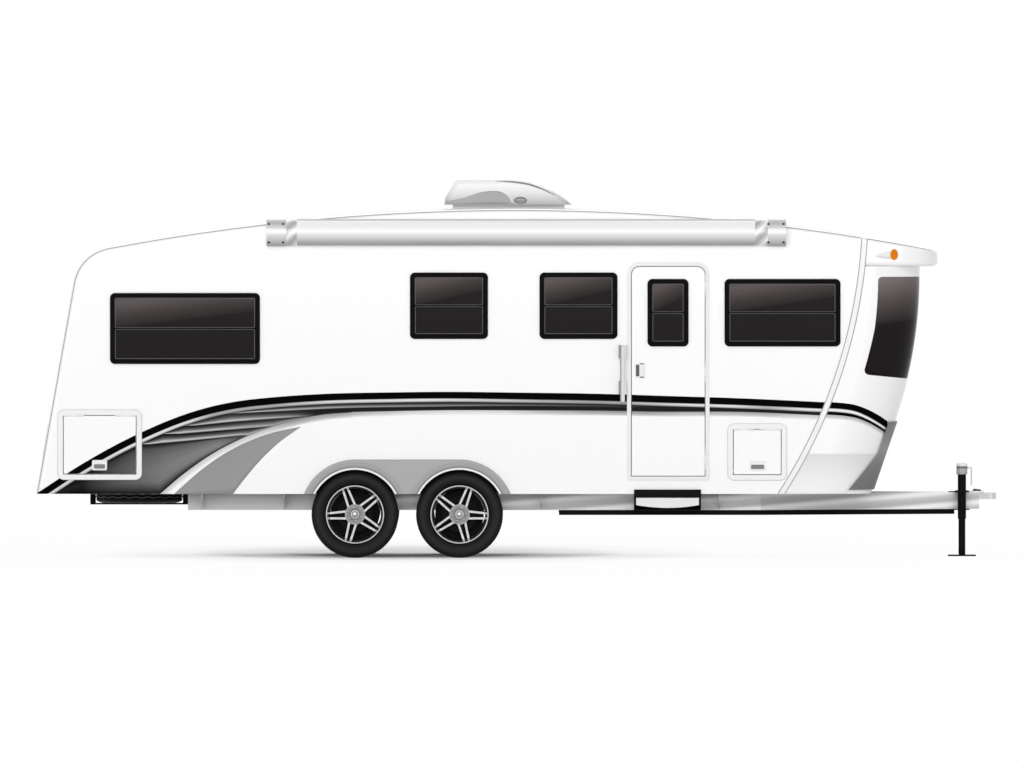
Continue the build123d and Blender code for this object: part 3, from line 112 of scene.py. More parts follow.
def reckon(tree, operation, *values):
    """Result of one operation on values or sockets."""
    return add_node(tree, "Math", dict(enumerate(values)), operation=operation).outputs[0]


def share_between(tree, value, low, high):
    """Share from 0 to 1 of the way from low to high."""
    return add_node(tree, "MapRange", {"Value": value, "From Min": low, "From Max": high}).outputs["Result"]


def along_axis(tree, axis, low, high):
    """Share of the way between two places on an Object axis."""
    split = add_node(tree, "SeparateXYZ", {"Vector": object_place(tree)})
    return share_between(tree, split.outputs[axis], low, high)


def ramp(tree, share, stops, interpolation="LINEAR"):
    """Colour by share: each stop is a place and a display grey, or a place and a linear colour."""
    node = add_node(tree, "ValToRGB", {"Fac": share})
    node.color_ramp.interpolation = interpolation
    elements = node.color_ramp.elements
    while len(elements) < len(stops):
        elements.new(1.0)
    for element, (at, shade) in zip(elements, stops):
        element.position = at
        element.color = shade if isinstance(shade, tuple) else grey(shade)
    return node.outputs["Color"]


def share_along(tree, low, high, rows, interpolation="CONSTANT"):
    """Share by place along X: each row (place, share) holds to the next, or runs to it in a straight line."""
    stops = [((x - low) / (high - low), even(share)) for x, share in rows]
    return ramp(tree, along_axis(tree, "X", low, high), stops, interpolation)


def paint(material, colour):
    """Lead a colour to the material's base colour."""
    tree = material.node_tree
    tree.links.new(colour, tree.nodes["Principled BSDF"].inputs["Base Color"])


def paint_along(material, axis, low, high, stops):
    """Base colour in greys by place along an Object axis."""
    tree = material.node_tree
    paint(material, ramp(tree, along_axis(tree, axis, low, high), stops))


def paint_mixed(material, share, first, second):
    """Base colour that goes from the first colour to the second by a share."""
    mixed = add_node(material.node_tree, "Mix", {"Factor": share, "A": first, "B": second}, data_type="RGBA")
    paint(material, mixed.outputs["Result"])


def slanted_share(tree, slant):
    """Object place taken along a slanted direction: x * slant x + y * slant y + z * slant z."""
    across = add_node(tree, "VectorMath", {0: object_place(tree), 1: slant}, operation="DOT_PRODUCT")
    return across.outputs["Value"]


def gleam(tree, rise, period, phase, stops):
    """Painted highlight, greys repeated in slanted bands: share = fraction of (z - rise * x) / period +
    phase.
    """
    across = slanted_share(tree, (-rise / period, 0.0, 1.0 / period))
    return ramp(tree, reckon(tree, "FRACT", reckon(tree, "ADD", across, phase)), stops)


def dress(material, *names):
    """Put a material on every slot of the named CAD nodes."""
    for name in names:
        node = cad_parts[name]
        if not node.material_slots:
            node.data.materials.append(material)
        for slot in node.material_slots:
            slot.material = material


silver_paint = finish("silver_chassis_paint", grey(206), 0.36, metallic=0.1, mottle=0.03, grain=500,
                      relief=0.0002)
tree = silver_paint.node_tree
# Painted highlights: slanted pale bands on the rails from X = -1.36 forward; behind that they are plain grey.
rail_painted_highlights = gleam(tree, 0.082, 0.107, 0.35,
                   ((0.0, 186), (0.3, 206), (0.55, 248), (0.7, 246), (0.9, 196), (1.0, 186)))
paint_mixed(silver_paint, share_along(tree, -3.0, 4.0, ((-3.0, 0.0), (-1.36, 1.0))), grey(206), rail_painted_highlights)
black_paint = finish("black_chassis_paint", grey(8), 0.5, specular=0.06, mottle=0.3, grain=400, relief=0.0003)
plate_paint = finish("plate_paint", grey(206), 0.36, specular=0.06, mottle=0.04, grain=500, relief=0.0002)
paint_along(plate_paint, "Y", -0.25, -0.04, ((0.0, 8), (0.45, 8), (0.5, 200), (1.0, 206)))
dress(silver_paint, "main_rails", "drawbar_rails", "outriggers")
dress(plate_paint, "drawbar_plates")
dress(black_paint, "drawbar_lower_rails", "cross_members", "axles", "spare_rim")

# Brake drums and wheel wells: drums of cast iron on the spindles behind the rims, and tubs of sheet over the
# wheels, sealed with a rough black coating and screwed to the floor.
drum_iron = finish("drum_cast_iron", grey(14), 0.75, specular=0.1, mottle=0.3, patch=14, grain=260,
                   relief=0.0006)
well_coating = finish("well_underseal", grey(20), 0.9, specular=0.2, mottle=0.2, patch=8, grain=180,
                      relief=0.001)
wheel_names = ("rear_right", "front_right", "rear_left", "front_left")
dress(drum_iron, *[f"drum_{name}" for name in wheel_names])
dress(well_coating, "wheel_wells")


# Road tyres: moulded radials with four grooves, slanted sipes and a ribbed sidewall, seated on the rims.
# Each replaces the plain solid and keeps its section. The spare lies flat in its cradle, with two wavy ribs.
def points(x, y, z):
    """Points from places in X, Y and Z, each an array or one value for all."""
    return np.stack(np.broadcast_arrays(x, y, z), -1)


def grid_piece(name, grids, material, closed_rows=False, closed_columns=False, maps=None):
    """One mesh from grids of points (rows, columns, 3): each cell joins its four corners, and a closed
    direction joins its last line to its first. The UV map is the given one, or shares of row and column."""
    corners, faces, loops, start = [], [], [], 0
    for number, grid in enumerate(grids):
        rows, columns = grid.shape[:2]
        i, j = np.meshgrid(np.arange(rows - (not closed_rows)), np.arange(columns - (not closed_columns)),
                           indexing="ij")
        i_next, j_next = (i + 1) % rows, (j + 1) % columns
        cells = np.stack([i * columns + j, i * columns + j_next, i_next * columns + j_next,
                          i_next * columns + j], -1).reshape(-1, 4)
        if maps is None:
            v, u = np.meshgrid(np.linspace(0, 1, rows), np.linspace(0, 1, columns), indexing="ij")
            chart = np.stack([u, v], -1)
        else:
            chart = maps[number]
        corners.append(grid.reshape(-1, 3))
        faces.append(cells + start)
        loops.append(chart.reshape(-1, 2)[cells.reshape(-1)])
        start += rows * columns
    mesh = bpy.data.meshes.new(name)
    mesh.from_pydata(np.concatenate(corners).tolist(), [], np.concatenate(faces).tolist())
    chart_layer = mesh.uv_layers.new(name="UVMap")
    chart_layer.data.foreach_set("uv", np.concatenate(loops).reshape(-1).astype(np.float32))
    mesh.polygons.foreach_set("use_smooth", np.ones(len(mesh.polygons), bool))
    mesh.materials.append(material)
    piece = bpy.data.objects.new(name, mesh)
    bpy.context.scene.collection.objects.link(piece)
    return piece


def seat(piece, body):
    """Let a new piece ride on a body."""
    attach(piece, body)
    return piece


def solid(name, grids, material, body, maps=None, ring=False):
    """Closed piece from grids whose columns close, and whose rows close too in a ring. Doubles are merged, so
    that seams and poles close, and every face is turned outwards."""
    piece = grid_piece(name, grids, material, ring, True, maps)
    work = bmesh.new()
    work.from_mesh(piece.data)
    bmesh.ops.remove_doubles(work, verts=work.verts, dist=1e-6)
    bmesh.ops.dissolve_degenerate(work, edges=work.edges, dist=1e-7)
    bmesh.ops.recalc_face_normals(work, faces=work.faces)
    work.to_mesh(piece.data)
    work.free()
    piece.data.set_sharp_from_angle(angle=math.radians(38.0))
    return seat(piece, body)


def middle_of(node):
    """Middle of a CAD node's box."""
    low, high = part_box(node)
    return (np.array(low) + np.array(high)) / 2


def rings_round_axle(tree, low, high, stops):
    """Greys by distance in X and Z from the nearer axle, each stop a radius and a grey."""
    flat = add_node(tree, "VectorMath", {0: object_place(tree), 1: (1.0, 0.0, 1.0)}, operation="MULTIPLY")
    spans = []
    for name in ("rear_right", "front_right"):
        x, _, z = middle_of(f"tyre_{name}")
        span = add_node(tree, "VectorMath", {0: flat.outputs[0], 1: (x, 0.0, z)}, operation="DISTANCE")
        spans.append(span.outputs["Value"])
    share = share_between(tree, reckon(tree, "MINIMUM", *spans), low, high)
    return ramp(tree, share, [((radius - low) / (high - low), level) for radius, level in stops])


tyre_rubber = finish("tyre_rubber", grey(18), 0.6, specular=0.12, mottle=0.2, patch=9, grain=700,
                     relief=0.0003)
tree = tyre_rubber.node_tree
# Painted sheen: the road tyres' sidewalls are lighter in a broad ring between bead and crown, darker at both;
# the spare keeps the plain mottled rubber.
sidewall = rings_round_axle(tree, 0.22, 0.37, ((0.225, 6), (0.250, 8), (0.268, 18), (0.295, 34), (0.318, 38),
                                               (0.340, 24), (0.355, 18), (0.366, 20)))
paint_mixed(tyre_rubber, share_along(tree, -4.0, 4.0, ((-4.0, 0.0), (-2.0, 1.0))),
            tree.nodes["shade"].outputs["Result"], sidewall)
road_section = np.array([  # radius, place across: bead, sidewall, shoulder, crown
    (0.2262, 0.0915), (0.2446, 0.0918), (0.2620, 0.1008), (0.2800, 0.1075), (0.3000, 0.1118),
    (0.3220, 0.1095), (0.3420, 0.1018), (0.3510, 0.0962), (0.3580, 0.0888), (0.3630, 0.0838),
    (0.3650, 0.0780), (0.3650, 0.0)])
spare_section = np.array([  # radius, place across
    (0.2453, 0.0500), (0.2650, 0.0590), (0.2850, 0.0645), (0.3050, 0.0664), (0.3300, 0.0615),
    (0.3470, 0.0545), (0.3560, 0.0495), (0.3600, 0.0445), (0.3640, 0.0360), (0.3650, 0.0285),
    (0.3650, 0.0)])
road_grooves, spare_grooves = (0.020, 0.056), (0.010, 0.026)  # place across
full_turn, steps_round, groove_depth, groove_half, groove_wall = 2 * math.pi, 320, 0.006, 0.004, 1e-4
crown_depth, sipes_round, sipe_slant, sipe_level = 0.012, 40, 70.0, 0.7
ring_low, ring_high = 0.100, 0.062  # the sidewall's rings lie between these distances below the crown
ring_rise, ring_rate = 0.0008, 1400.0


def tyre_surface(section, grooves):
    """Angle, radius and place across: the section and its mirror, one row for each step of arc length. The
    crown is lowered by the groove depth near each groove, and along sipes where cos(sipes * angle + slant *
    across) is over the sipe level. The sidewall carries fine rings, rise * cos(rate * radius)."""
    run = np.concatenate([[0.0], np.cumsum(np.hypot(*np.diff(section, axis=0).T))])
    wall = groove_half + groove_wall
    edges = [run[-1] - middle + off for middle in grooves for off in (-wall, -groove_half, groove_half, wall)]
    s = np.unique(np.concatenate([np.linspace(0.0, run[-1], 30), run, edges]))
    half = np.stack([np.interp(s, run, section[:, 0]), np.interp(s, run, section[:, 1])], -1)
    radius, across = np.concatenate([half, half[-2::-1] * [1, -1]]).T[:, :, None]
    angle = np.linspace(0.0, full_turn, steps_round, endpoint=False)
    top = section[-1, 0]
    groove = np.min([np.abs(np.abs(across) - middle) for middle in grooves], 0) <= groove_half + 1e-6
    sipe = (np.cos(sipes_round * angle + sipe_slant * across) > sipe_level) & (np.abs(across) >= grooves[0])
    ringed = (radius > top - ring_low) & (radius < top - ring_high)
    ripple = np.where(ringed, ring_rise * np.cos(ring_rate * radius), 0.0)
    cut = (radius > top - crown_depth) & (groove | sipe)
    return angle, radius - cut * groove_depth, across + np.sign(across) * ripple


for name in wheel_names:
    x, y, z = middle_of(f"tyre_{name}")
    angle, radius, across = tyre_surface(road_section, road_grooves)
    tread = points(x + radius * np.cos(angle), y + across, z + radius * np.sin(angle))
    tyre = solid(f"tread_{name}", [tread], tyre_rubber, f"wheel_{name}", ring=True)
    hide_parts(f"tyre_{name}")

x, y, z = middle_of("spare_tyre")
angle, radius, across = tyre_surface(spare_section, spare_grooves)
tread = points(x + radius * np.cos(angle), y + radius * np.sin(angle), z + across)
spare = solid("spare_tread", [tread], tyre_rubber, "root", ring=True)
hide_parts("spare_tyre")
# The spare's wavy ribs are painted highlight: pale grey on the black tread.
rib_painted_highlight = finish("spare_rib_painted_highlight", grey(118), 0.6, specular=0.1, mottle=0.15, patch=20)
rib_out, rib_half, rib_place, rib_swing, rib_waves = 0.3655, 0.0032, 0.016, 0.0045, 22
angle = np.linspace(0.0, full_turn, 440, endpoint=False)[:, None]
turn = np.linspace(0.0, full_turn, 6, endpoint=False)
radius = rib_out + rib_half * np.cos(turn)
wave = rib_swing * np.sin(rib_waves * angle) + rib_half * np.sin(turn)
ribs = [points(x + radius * np.cos(angle), y + radius * np.sin(angle), z + rise + wave)
        for rise in (-rib_place, rib_place)]
solid("spare_ribs", ribs, rib_painted_highlight, "root", ring=True)

# Alloy rims: cast aluminium with machined faces and black pockets, held by six nuts round the centre cap.
# The machined faces look along the axle: cap, hub, spokes and outer lip. The rest is painted black.
rim_alloy = finish("rim_machined_alloy", grey(200), 0.3, metallic=0.3, specular=0.25, grain=900,
                   relief=0.0001)
tree = rim_alloy.node_tree
machined_depth = 1.165  # distance from the middle plane past which faces are machined
normal = add_node(tree, "SeparateXYZ", {"Vector": add_node(tree, "TexCoord").outputs["Normal"]})
depth = add_node(tree, "SeparateXYZ", {"Vector": object_place(tree)})
facing = share_between(tree, reckon(tree, "ABSOLUTE", normal.outputs["Y"]), 0.5, 0.7)
proud = reckon(tree, "GREATER_THAN", reckon(tree, "ABSOLUTE", depth.outputs["Y"]), machined_depth)
rim_rings = rings_round_axle(tree, 0.0, 0.25, (
    (0.0, 216), (0.034, 190), (0.036, 96), (0.060, 122), (0.083, 140), (0.088, 190), (0.150, 178),
    (0.212, 196), (0.218, 30), (0.2345, 16), (0.2365, 188), (0.2430, 170), (0.2445, 60)))
paint_mixed(rim_alloy, reckon(tree, "MULTIPLY", facing, proud), grey(6), rim_rings)
dress(rim_alloy, *[f"rim_{name}" for name in wheel_names])


def turned_heads(centres, directions, profile, sides=16):
    """One grid for each head: the profile rows (radius, rise) turned about the head's direction d through its
    centre c, as c + rise * d + radius * (cos a * e + sin a * f) with e, f square to d."""
    angle = np.linspace(0.0, full_turn, sides, endpoint=False)[None, :, None]
    centres, directions = np.asarray(centres, float), np.asarray(directions, float)
    e = np.cross(directions, np.array([1.0, 0.0, 0.0]))
    e /= np.linalg.norm(e, axis=1, keepdims=True)
    f = np.cross(directions, e)
    radius, rise = np.asarray(profile, float).T[:, None, :, None, None]
    ring = np.cos(angle) * e[:, None, :] + np.sin(angle) * f[:, None, :]
    return list(centres[:, None, None] + rise * directions[:, None, None] + radius * ring[:, None])


def sheet(name, grids, material, body, thickness, maps=None, offset=1.0):
    """Open grids given a thickness: outwards from the grid at offset 1, and inwards at offset -1."""
    piece = grid_piece(name, grids, material, maps=maps)
    shell = piece.modifiers.new("skin", "SOLIDIFY")
    shell.thickness = thickness
    shell.offset = offset
    return seat(piece, body)


spoke_alloy = finish("spoke_end_alloy", grey(186), 0.3, metallic=0.3, specular=0.25, mottle=0.05, patch=30)
nut_chrome = finish("nut_chrome", grey(172), 0.25, metallic=0.7, mottle=0.1, patch=40)
nut_profile = ((0.0, 0.0), (0.0095, 0.0), (0.0095, 0.010), (0.0075, 0.015), (0.003, 0.017), (0.0, 0.017))
cap_profile = ((0.0, 0.0), (0.028, 0.0), (0.027, 0.004), (0.020, 0.010), (0.010, 0.013), (0.0, 0.0135))
nut_count, nut_circle, hub_out, cap_out = 6, 0.057, 0.0778, 0.0898
spoke_count, spoke_half, spoke_skin = 5, 0.009, 0.0012
spoke_rows = ((0.2168, 0.0212), (0.2335, 0.0203))  # radius and spread of the inner end, then of the outer end
spoke_radius, spoke_spread = np.array(spoke_rows).T[:, :, None]
wheel_turns = (39.0, 69.0, 39.0, 69.0)
for name, degrees in zip(wheel_names, wheel_turns):
    body = f"wheel_{name}"
    turn = math.radians(degrees)
    side = -1.0 if name.endswith("right") else 1.0
    axle_x, _, axle_z = middle_of(f"drum_{name}")
    track = side * abs(middle_of(f"tyre_{name}")[1])
    angle = turn + np.arange(nut_count) * full_turn / nut_count
    nuts = points(axle_x + nut_circle * np.cos(angle), track + side * hub_out,
                  axle_z + nut_circle * np.sin(angle))
    heads = turned_heads(nuts, np.tile([0.0, side, 0.0], (nut_count, 1)), nut_profile, sides=6)
    solid(f"wheel_nuts_{name}", heads, nut_chrome, body)
    low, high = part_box(f"rim_{name}")
    face_y = low[1] - spoke_skin if side < 0 else high[1] + spoke_skin
    ends = []
    for spoke in turn + np.arange(spoke_count) * full_turn / spoke_count:
        for spread in (-1.0, 1.0):
            v = spread * spoke_spread + spoke_half * np.array([-1.0, 1.0])
            ends.append(points(axle_x + spoke_radius * np.cos(spoke) - v * np.sin(spoke), face_y,
                               axle_z - side * (spoke_radius * np.sin(spoke) + v * np.cos(spoke))))
    sheet(f"spoke_ends_{name}", ends, spoke_alloy, body, 2 * spoke_skin, offset=-1.0)
    dome = turned_heads([[axle_x, track + side * cap_out, axle_z]], [[0.0, side, 0.0]], cap_profile, sides=40)
    solid(f"centre_cap_{name}", dome, nut_chrome, body)

# Coupler and tongue jack: bright cast coupler with a black latch, bolted to the drawbar. The jack is a black
# steel tube, leg and foot in the drawbar's plates, with a moulded grey head, a pale cap and a crank.
coupler_bright = finish("coupler_plate", grey(206), 0.35, metallic=0.4, mottle=0.08, patch=20, grain=600,
                        relief=0.0003)
black_plastic = finish("black_moulding", grey(18), 0.4, mottle=0.1, grain=500, relief=0.0002)
head_grey = finish("jack_head_moulding", grey(200), 0.45, grain=500, relief=0.0003)
tree = head_grey.node_tree
head_low, head_high, crank_x = 0.689, 0.785, 3.797
head_shades = ramp(tree, along_axis(tree, "Z", head_low, head_high), (
    (0.0, 150), (0.25, 170), (0.46, 172), (0.54, 104), (0.68, 112), (0.76, 232), (1.0, 244)))
paint_mixed(head_grey, share_along(tree, 3.0, 4.0, ((3.0, 0.0), (crank_x, 1.0))), head_shades, grey(210))
dress(coupler_bright, "coupler")
dress(black_paint, "jack_tube", "jack_leg")
dress(head_grey, "jack_head")
dress(black_plastic, "coupler_latch")

# Floor: a laminated timber slab bolted down on the rails and outriggers, sealed with a dark coat below.
# Its edges are covered by the walls.
floor_seal = finish("floor_underside", tone(58, 56, 54), 0.8, mottle=0.2, patch=3, grain=120, relief=0.0006)
dress(floor_seal, "floor")

# Body panels: white gelcoat skins over a foam core, bonded at the edges, with the moulded cap and brow.
# The door and hatch leaves are cut from the same sheet. The roof has a duller skin.
gelcoat = finish("white_gelcoat", grey(246), 0.2, coat=0.4, mottle=0.006, patch=1.5, grain=60, relief=0.00005)
roof_skin = finish("roof_membrane", grey(238), 0.5, mottle=0.02, patch=2, grain=220, relief=0.0003)
dress(gelcoat, "wall_right", "wall_left", "rear_wall", "front_cap", "brow", "door_leaf", "hatch_rear_right",
      "hatch_rear_left", "hatch_front_right", "hatch_front_left")
dress(roof_skin, "roof")

# Fenders: grey vacuum-formed plastic screwed to the walls, with a rolled lip round each wheel. The greys run
# in
# rings round the axles: a painted highlight on the lip, a painted shadow line beside it and a fainter one at
# the outer flange.
fender_grey = finish("fender_plastic", grey(172), 0.35, mottle=0.04, grain=300, relief=0.0002)
# Painted light in rings: a highlight on the lip, then a shadow line, then a fainter shadow line further out.
paint(fender_grey, rings_round_axle(fender_grey.node_tree, 0.37, 0.49, (
    (0.377, 226), (0.386, 240), (0.392, 226), (0.395, 92), (0.400, 104), (0.404, 142), (0.430, 156),
    (0.437, 142), (0.442, 160), (0.490, 162))))
dress(fender_grey, "fenders")

# Rock guard: a textured grey plastic sheet bonded over the lower front of the cap to take stone chips. It is
# paler in its middle height.
guard_grey = finish("rock_guard_sheet", grey(124), 0.6, mottle=0.08, patch=5, grain=350, relief=0.0008)
paint_along(guard_grey, "Z", 0.571, 1.14, ((0.0, 112), (0.35, 122), (0.62, 150), (0.85, 128), (1.0, 118)))
dress(guard_grey, "rock_guard")


# Seam strips and edge trim: white extruded strips over the joint of wall and cap, run in grey sealant, and a
# slim grey insert in the rounded edge of each wall and round the brow.
def tube_along(x, y, z, radius, sides=8):
    """Round tube along a path: point + radius * (cos a * n + sin a * b), with n, b square to the path's
    direction. Its ends run to a point, so that it is closed."""
    path = points(x, y, z)
    direction = np.gradient(path, axis=0)
    direction /= np.linalg.norm(direction, axis=1, keepdims=True)
    guide = np.where(np.abs(direction[:, 1:2]) > 0.9, [[1.0, 0.0, 0.0]], [[0.0, 1.0, 0.0]])
    n = np.cross(direction, guide)
    n /= np.linalg.norm(n, axis=1, keepdims=True)
    b = np.cross(direction, n)
    angle = np.linspace(0.0, full_turn, sides, endpoint=False)[None, :, None]
    tube = path[:, None] + radius * (np.cos(angle) * n[:, None] + np.sin(angle) * b[:, None])
    return np.concatenate([np.repeat(path[:1, None], sides, 1), tube, np.repeat(path[-1:, None], sides, 1)])


both_sides = (-1, 1)
half_width, body_bottom, edge_radius = 1.219, 0.538, 0.040
seam_x, seam_z, seam_radius, strip_half = -1.516, 2.944, 4.443, 0.021
strip_white = finish("seam_trim", grey(238), 0.28, coat=0.3, mottle=0.01)
dress(strip_white, "seam_strips")


def seam_at(z, outset=0.0):
    """Place along X of the seam arc at height z: centre + sqrt(radius^2 - (z - centre z)^2)."""
    return seam_x + np.sqrt((seam_radius + outset) ** 2 - (z - seam_z) ** 2)


sealant = finish("grey_sealant", grey(164), 0.6, mottle=0.06, patch=12)
bead_foot, bead_top, bead_bend, bead_radius, bead_lift, bead_gap = 0.003, 2.684, 2.653, 0.0046, 0.0012, 0.002
bead_z = np.linspace(body_bottom + bead_foot, bead_top, 160)
bead_roll = np.clip(bead_z - bead_bend, 0.0, edge_radius)
bead_y = half_width + bead_lift - edge_radius + np.sqrt(edge_radius**2 - bead_roll**2)
beads = [tube_along(seam_at(bead_z, outset), side * bead_y, bead_z, bead_radius)
         for side in both_sides for outset in (-strip_half - bead_gap, strip_half + bead_gap)]
solid("seam_sealant", beads, sealant, "root")

rear_foot_x, rear_rake, rear_corner = -4.040, math.radians(10.0), 0.365
roof_top, roof_crown, roof_radius = 2.930, -0.009, 18.400
insert_foot, seam_clear, wall_seam_z, brow_seam_z = 0.004, 0.03, 2.62, 2.65  # ends at the sill and the seam
roll_inset = edge_radius * (1.0 - math.sqrt(0.5))  # from a flat face to the middle of its rolled edge


def roof_at(x, inset=0.0):
    """Height of the roof arc at x, moved in by inset."""
    return roof_top - roof_radius + np.sqrt((roof_radius - inset) ** 2 - (x - roof_crown) ** 2)


def wall_outline(inset):
    """Rear edge, rear corner and roof edge of a wall moved in by inset: a raked line, an arc tangent to it
    and to the roof arc, and the roof arc to the seam, as places in X and Z."""
    along = np.array([math.sin(rear_rake), math.cos(rear_rake)])
    inward = np.array([math.cos(rear_rake), -math.sin(rear_rake)])
    roof_centre = np.array([roof_crown, roof_top - roof_radius])
    start = np.array([rear_foot_x, body_bottom]) + inward * rear_corner - roof_centre
    b = along @ start
    reach = -b + math.sqrt(b * b - start @ start + (roof_radius - rear_corner) ** 2)
    centre = roof_centre + start + along * reach
    up = (centre - roof_centre) / np.linalg.norm(centre - roof_centre)
    angle = np.linspace(math.atan2(-inward[1], -inward[0]), math.atan2(up[1], up[0]), 30)
    corner = centre + (rear_corner - inset) * np.stack([np.cos(angle), np.sin(angle)], -1)
    foot = np.array([rear_foot_x + inset / math.cos(rear_rake), body_bottom + insert_foot])
    rake = foot + np.linspace(0.0, 1.0, 20)[:-1, None] * (corner[0] - foot)
    x = np.linspace(corner[-1, 0], seam_at(wall_seam_z) - seam_clear, 120)[1:]
    return np.concatenate([rake, corner, np.stack([x, roof_at(x, inset)], -1)]).T


insert_radius, brow_tip, brow_corner = 0.0045, 3.536, 0.330
wall_x, wall_z = wall_outline(roll_inset)
inserts = [tube_along(wall_x, side * (half_width - roll_inset), wall_z, insert_radius) for side in both_sides]
turn = np.linspace(-math.pi / 2, 0.0, 24)
nose = brow_corner - roll_inset
side_x = np.linspace(seam_at(brow_seam_z) + seam_clear, brow_tip - brow_corner, 16)[:-1]
half_x = np.concatenate([side_x, brow_tip - brow_corner + nose * np.cos(turn)])
side_y = np.full_like(side_x, roll_inset - half_width)
half_y = np.concatenate([side_y, brow_corner - half_width + nose * np.sin(turn)])
brow_x, brow_y = np.concatenate([half_x, half_x[::-1]]), np.concatenate([half_y, -half_y[::-1]])
inserts.append(tube_along(brow_x, brow_y, roof_at(brow_x) - roll_inset, insert_radius))
solid("edge_trim", inserts, sealant, "root")


# Windows: dark tinted panes with a painted reflection, pale towards the upper left, let into black aluminium
# frames with a grey glazing bead and a middle bar between two bright beads. The panes replace the plain ones
# and keep their form.
def rounded_loop(left, right, bottom, top, corner, steps=8):
    """Points in X and Z round a rectangle whose corners are quarter circles, against the clock."""
    angle = np.linspace(0.0, math.pi / 2, steps)
    centres = np.array([(right - corner, top - corner), (left + corner, top - corner),
                        (left + corner, bottom + corner), (right - corner, bottom + corner)])
    turn = angle[None] + np.arange(4)[:, None] * math.pi / 2
    return (centres[:, None] + corner * np.stack([np.cos(turn), np.sin(turn)], -1)).reshape(-1, 2)


def bead_round(loop, y, radius, sides=8):
    """Tube round a closed loop of places in X and Z, at depth y."""
    x, z = np.concatenate([loop, loop[:1]]).T
    return tube_along(x, y, z, radius, sides)


def plate(loop, inner_y, outer_y, side):
    """Closed plate: the loop filled to its middle on two faces, joined round the rim. Its chart is the share
    of width and height. Rows run middle, rim, rim, middle."""
    middle = np.repeat(((loop.min(0) + loop.max(0)) / 2)[None], len(loop), 0)
    rows = np.stack([middle, loop, loop, middle])
    y = side * np.array([outer_y, outer_y, inner_y, inner_y])[:, None]
    chart = (rows - loop.min(0)) / (loop.max(0) - loop.min(0))
    return points(rows[..., 0], y, rows[..., 1]), chart


def chart_shares(tree):
    """Shares u and v of a piece's UV map."""
    chart = add_node(tree, "UVMap", uv_map="UVMap").outputs["UV"]
    split = add_node(tree, "SeparateXYZ", {"Vector": chart})
    return split.outputs["X"], split.outputs["Y"]


# A painted reflection makes a pane pale towards the upper left, above the line v = 0.5 + 0.27 u, and dark
# below it.
window_tint_painted_reflection = finish("pane_painted_reflection", tone(35, 31, 32), 0.08, specular=0.04, mottle=0.05)
tree = window_tint_painted_reflection.node_tree
u, v = chart_shares(tree)
above_line = reckon(tree, "ADD", v, reckon(tree, "MULTIPLY_ADD", u, -0.27, -0.5))
paint(window_tint_painted_reflection, ramp(tree, above_line, (
    (0.0, tone(31, 27, 28)), (0.02, tone(42, 37, 37)), (0.2, tone(66, 60, 60)), (0.42, tone(94, 87, 87)),
    (0.5, tone(76, 70, 70)))))
window_black = finish("window_frame_black", tone(10, 8, 9), 0.4, specular=0.03, mottle=0.1, grain=500,
                      relief=0.0001)
bead_grey = finish("glazing_bead", grey(86), 0.4, mottle=0.1, patch=15)
dress(window_black, "window_frames", "door_window_frame")
windows = ((-3.419, -2.159, 1.630, 2.226), (-0.899, -0.244, 1.840, 2.398), (0.189, 0.844, 1.840, 2.398),
           (1.743, 2.717, 1.777, 2.344))  # left, right, bottom, top of each frame
frame_border, pane_gap, frame_proud, pane_recess, pane_thick = 0.038, 0.0004, 0.012, 0.005, 0.006
pane_corner, bead_inset, bead_corner, bar_half, bar_end = 0.012, 0.007, 0.010, 0.008, 0.010
pane_bead, bead_out, bar_bead, bar_out = 0.0028, 0.0008, 0.0022, 0.0004  # radius and place of each bead


def inset_loop(box, inset, corner):
    """Rounded loop inside a box by an inset."""
    left, right, bottom, top = box
    return rounded_loop(left + inset, right - inset, bottom + inset, top - inset, corner)


def glaze(frames, face, sides):
    """Panes, their charts, glazing beads and bar beads for frames on a wall face."""
    panes, charts, beads = [], [], []
    inset = frame_border + pane_gap
    outer = face + frame_proud - pane_recess
    for box in frames:
        left, right, bottom, top = box
        bead = inset_loop(box, inset + bead_inset, bead_corner)
        bar_x = np.linspace(left + inset + bar_end, right - inset - bar_end, 12)
        for side in sides:
            pane, chart = plate(inset_loop(box, inset, pane_corner), outer - pane_thick, outer, side)
            panes.append(pane)
            charts.append(chart)
            beads.append(bead_round(bead, side * (outer + bead_out), pane_bead, 6))
            for rise in (-bar_half, bar_half):
                bar_y, bar_z = side * (face + frame_proud + bar_out), (bottom + top) / 2 + rise
                beads.append(tube_along(bar_x, bar_y, bar_z, bar_bead, 6))
    return panes, charts, beads


panes, charts, beads = glaze(windows, half_width, both_sides)
pane = solid("window_panes", panes, window_tint_painted_reflection, "root", charts)
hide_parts("window_glass")
solid("window_beads", beads, bead_grey, "root")

# Windscreen: one bent sheet of tinted acrylic, bonded in the cap's opening. A painted reflection makes it
# paler at the top, where it leans to the sky, and runs along a slightly slanted direction.
screen_tint_painted_reflection = finish("windscreen_painted_reflection", tone(35, 31, 32), 0.08, specular=0.04, mottle=0.05)
tree = screen_tint_painted_reflection.node_tree
up_screen = share_between(tree, slanted_share(tree, (-0.14, 0.0, 1.0)), 1.060, 1.905)
paint(screen_tint_painted_reflection, ramp(tree, up_screen, (
    (0.0, tone(30, 26, 27)), (0.55, tone(32, 28, 29)), (0.58, tone(46, 41, 42)), (0.78, tone(84, 77, 77)),
    (1.0, tone(120, 112, 111)))))
dress(screen_tint_painted_reflection, "windscreen")

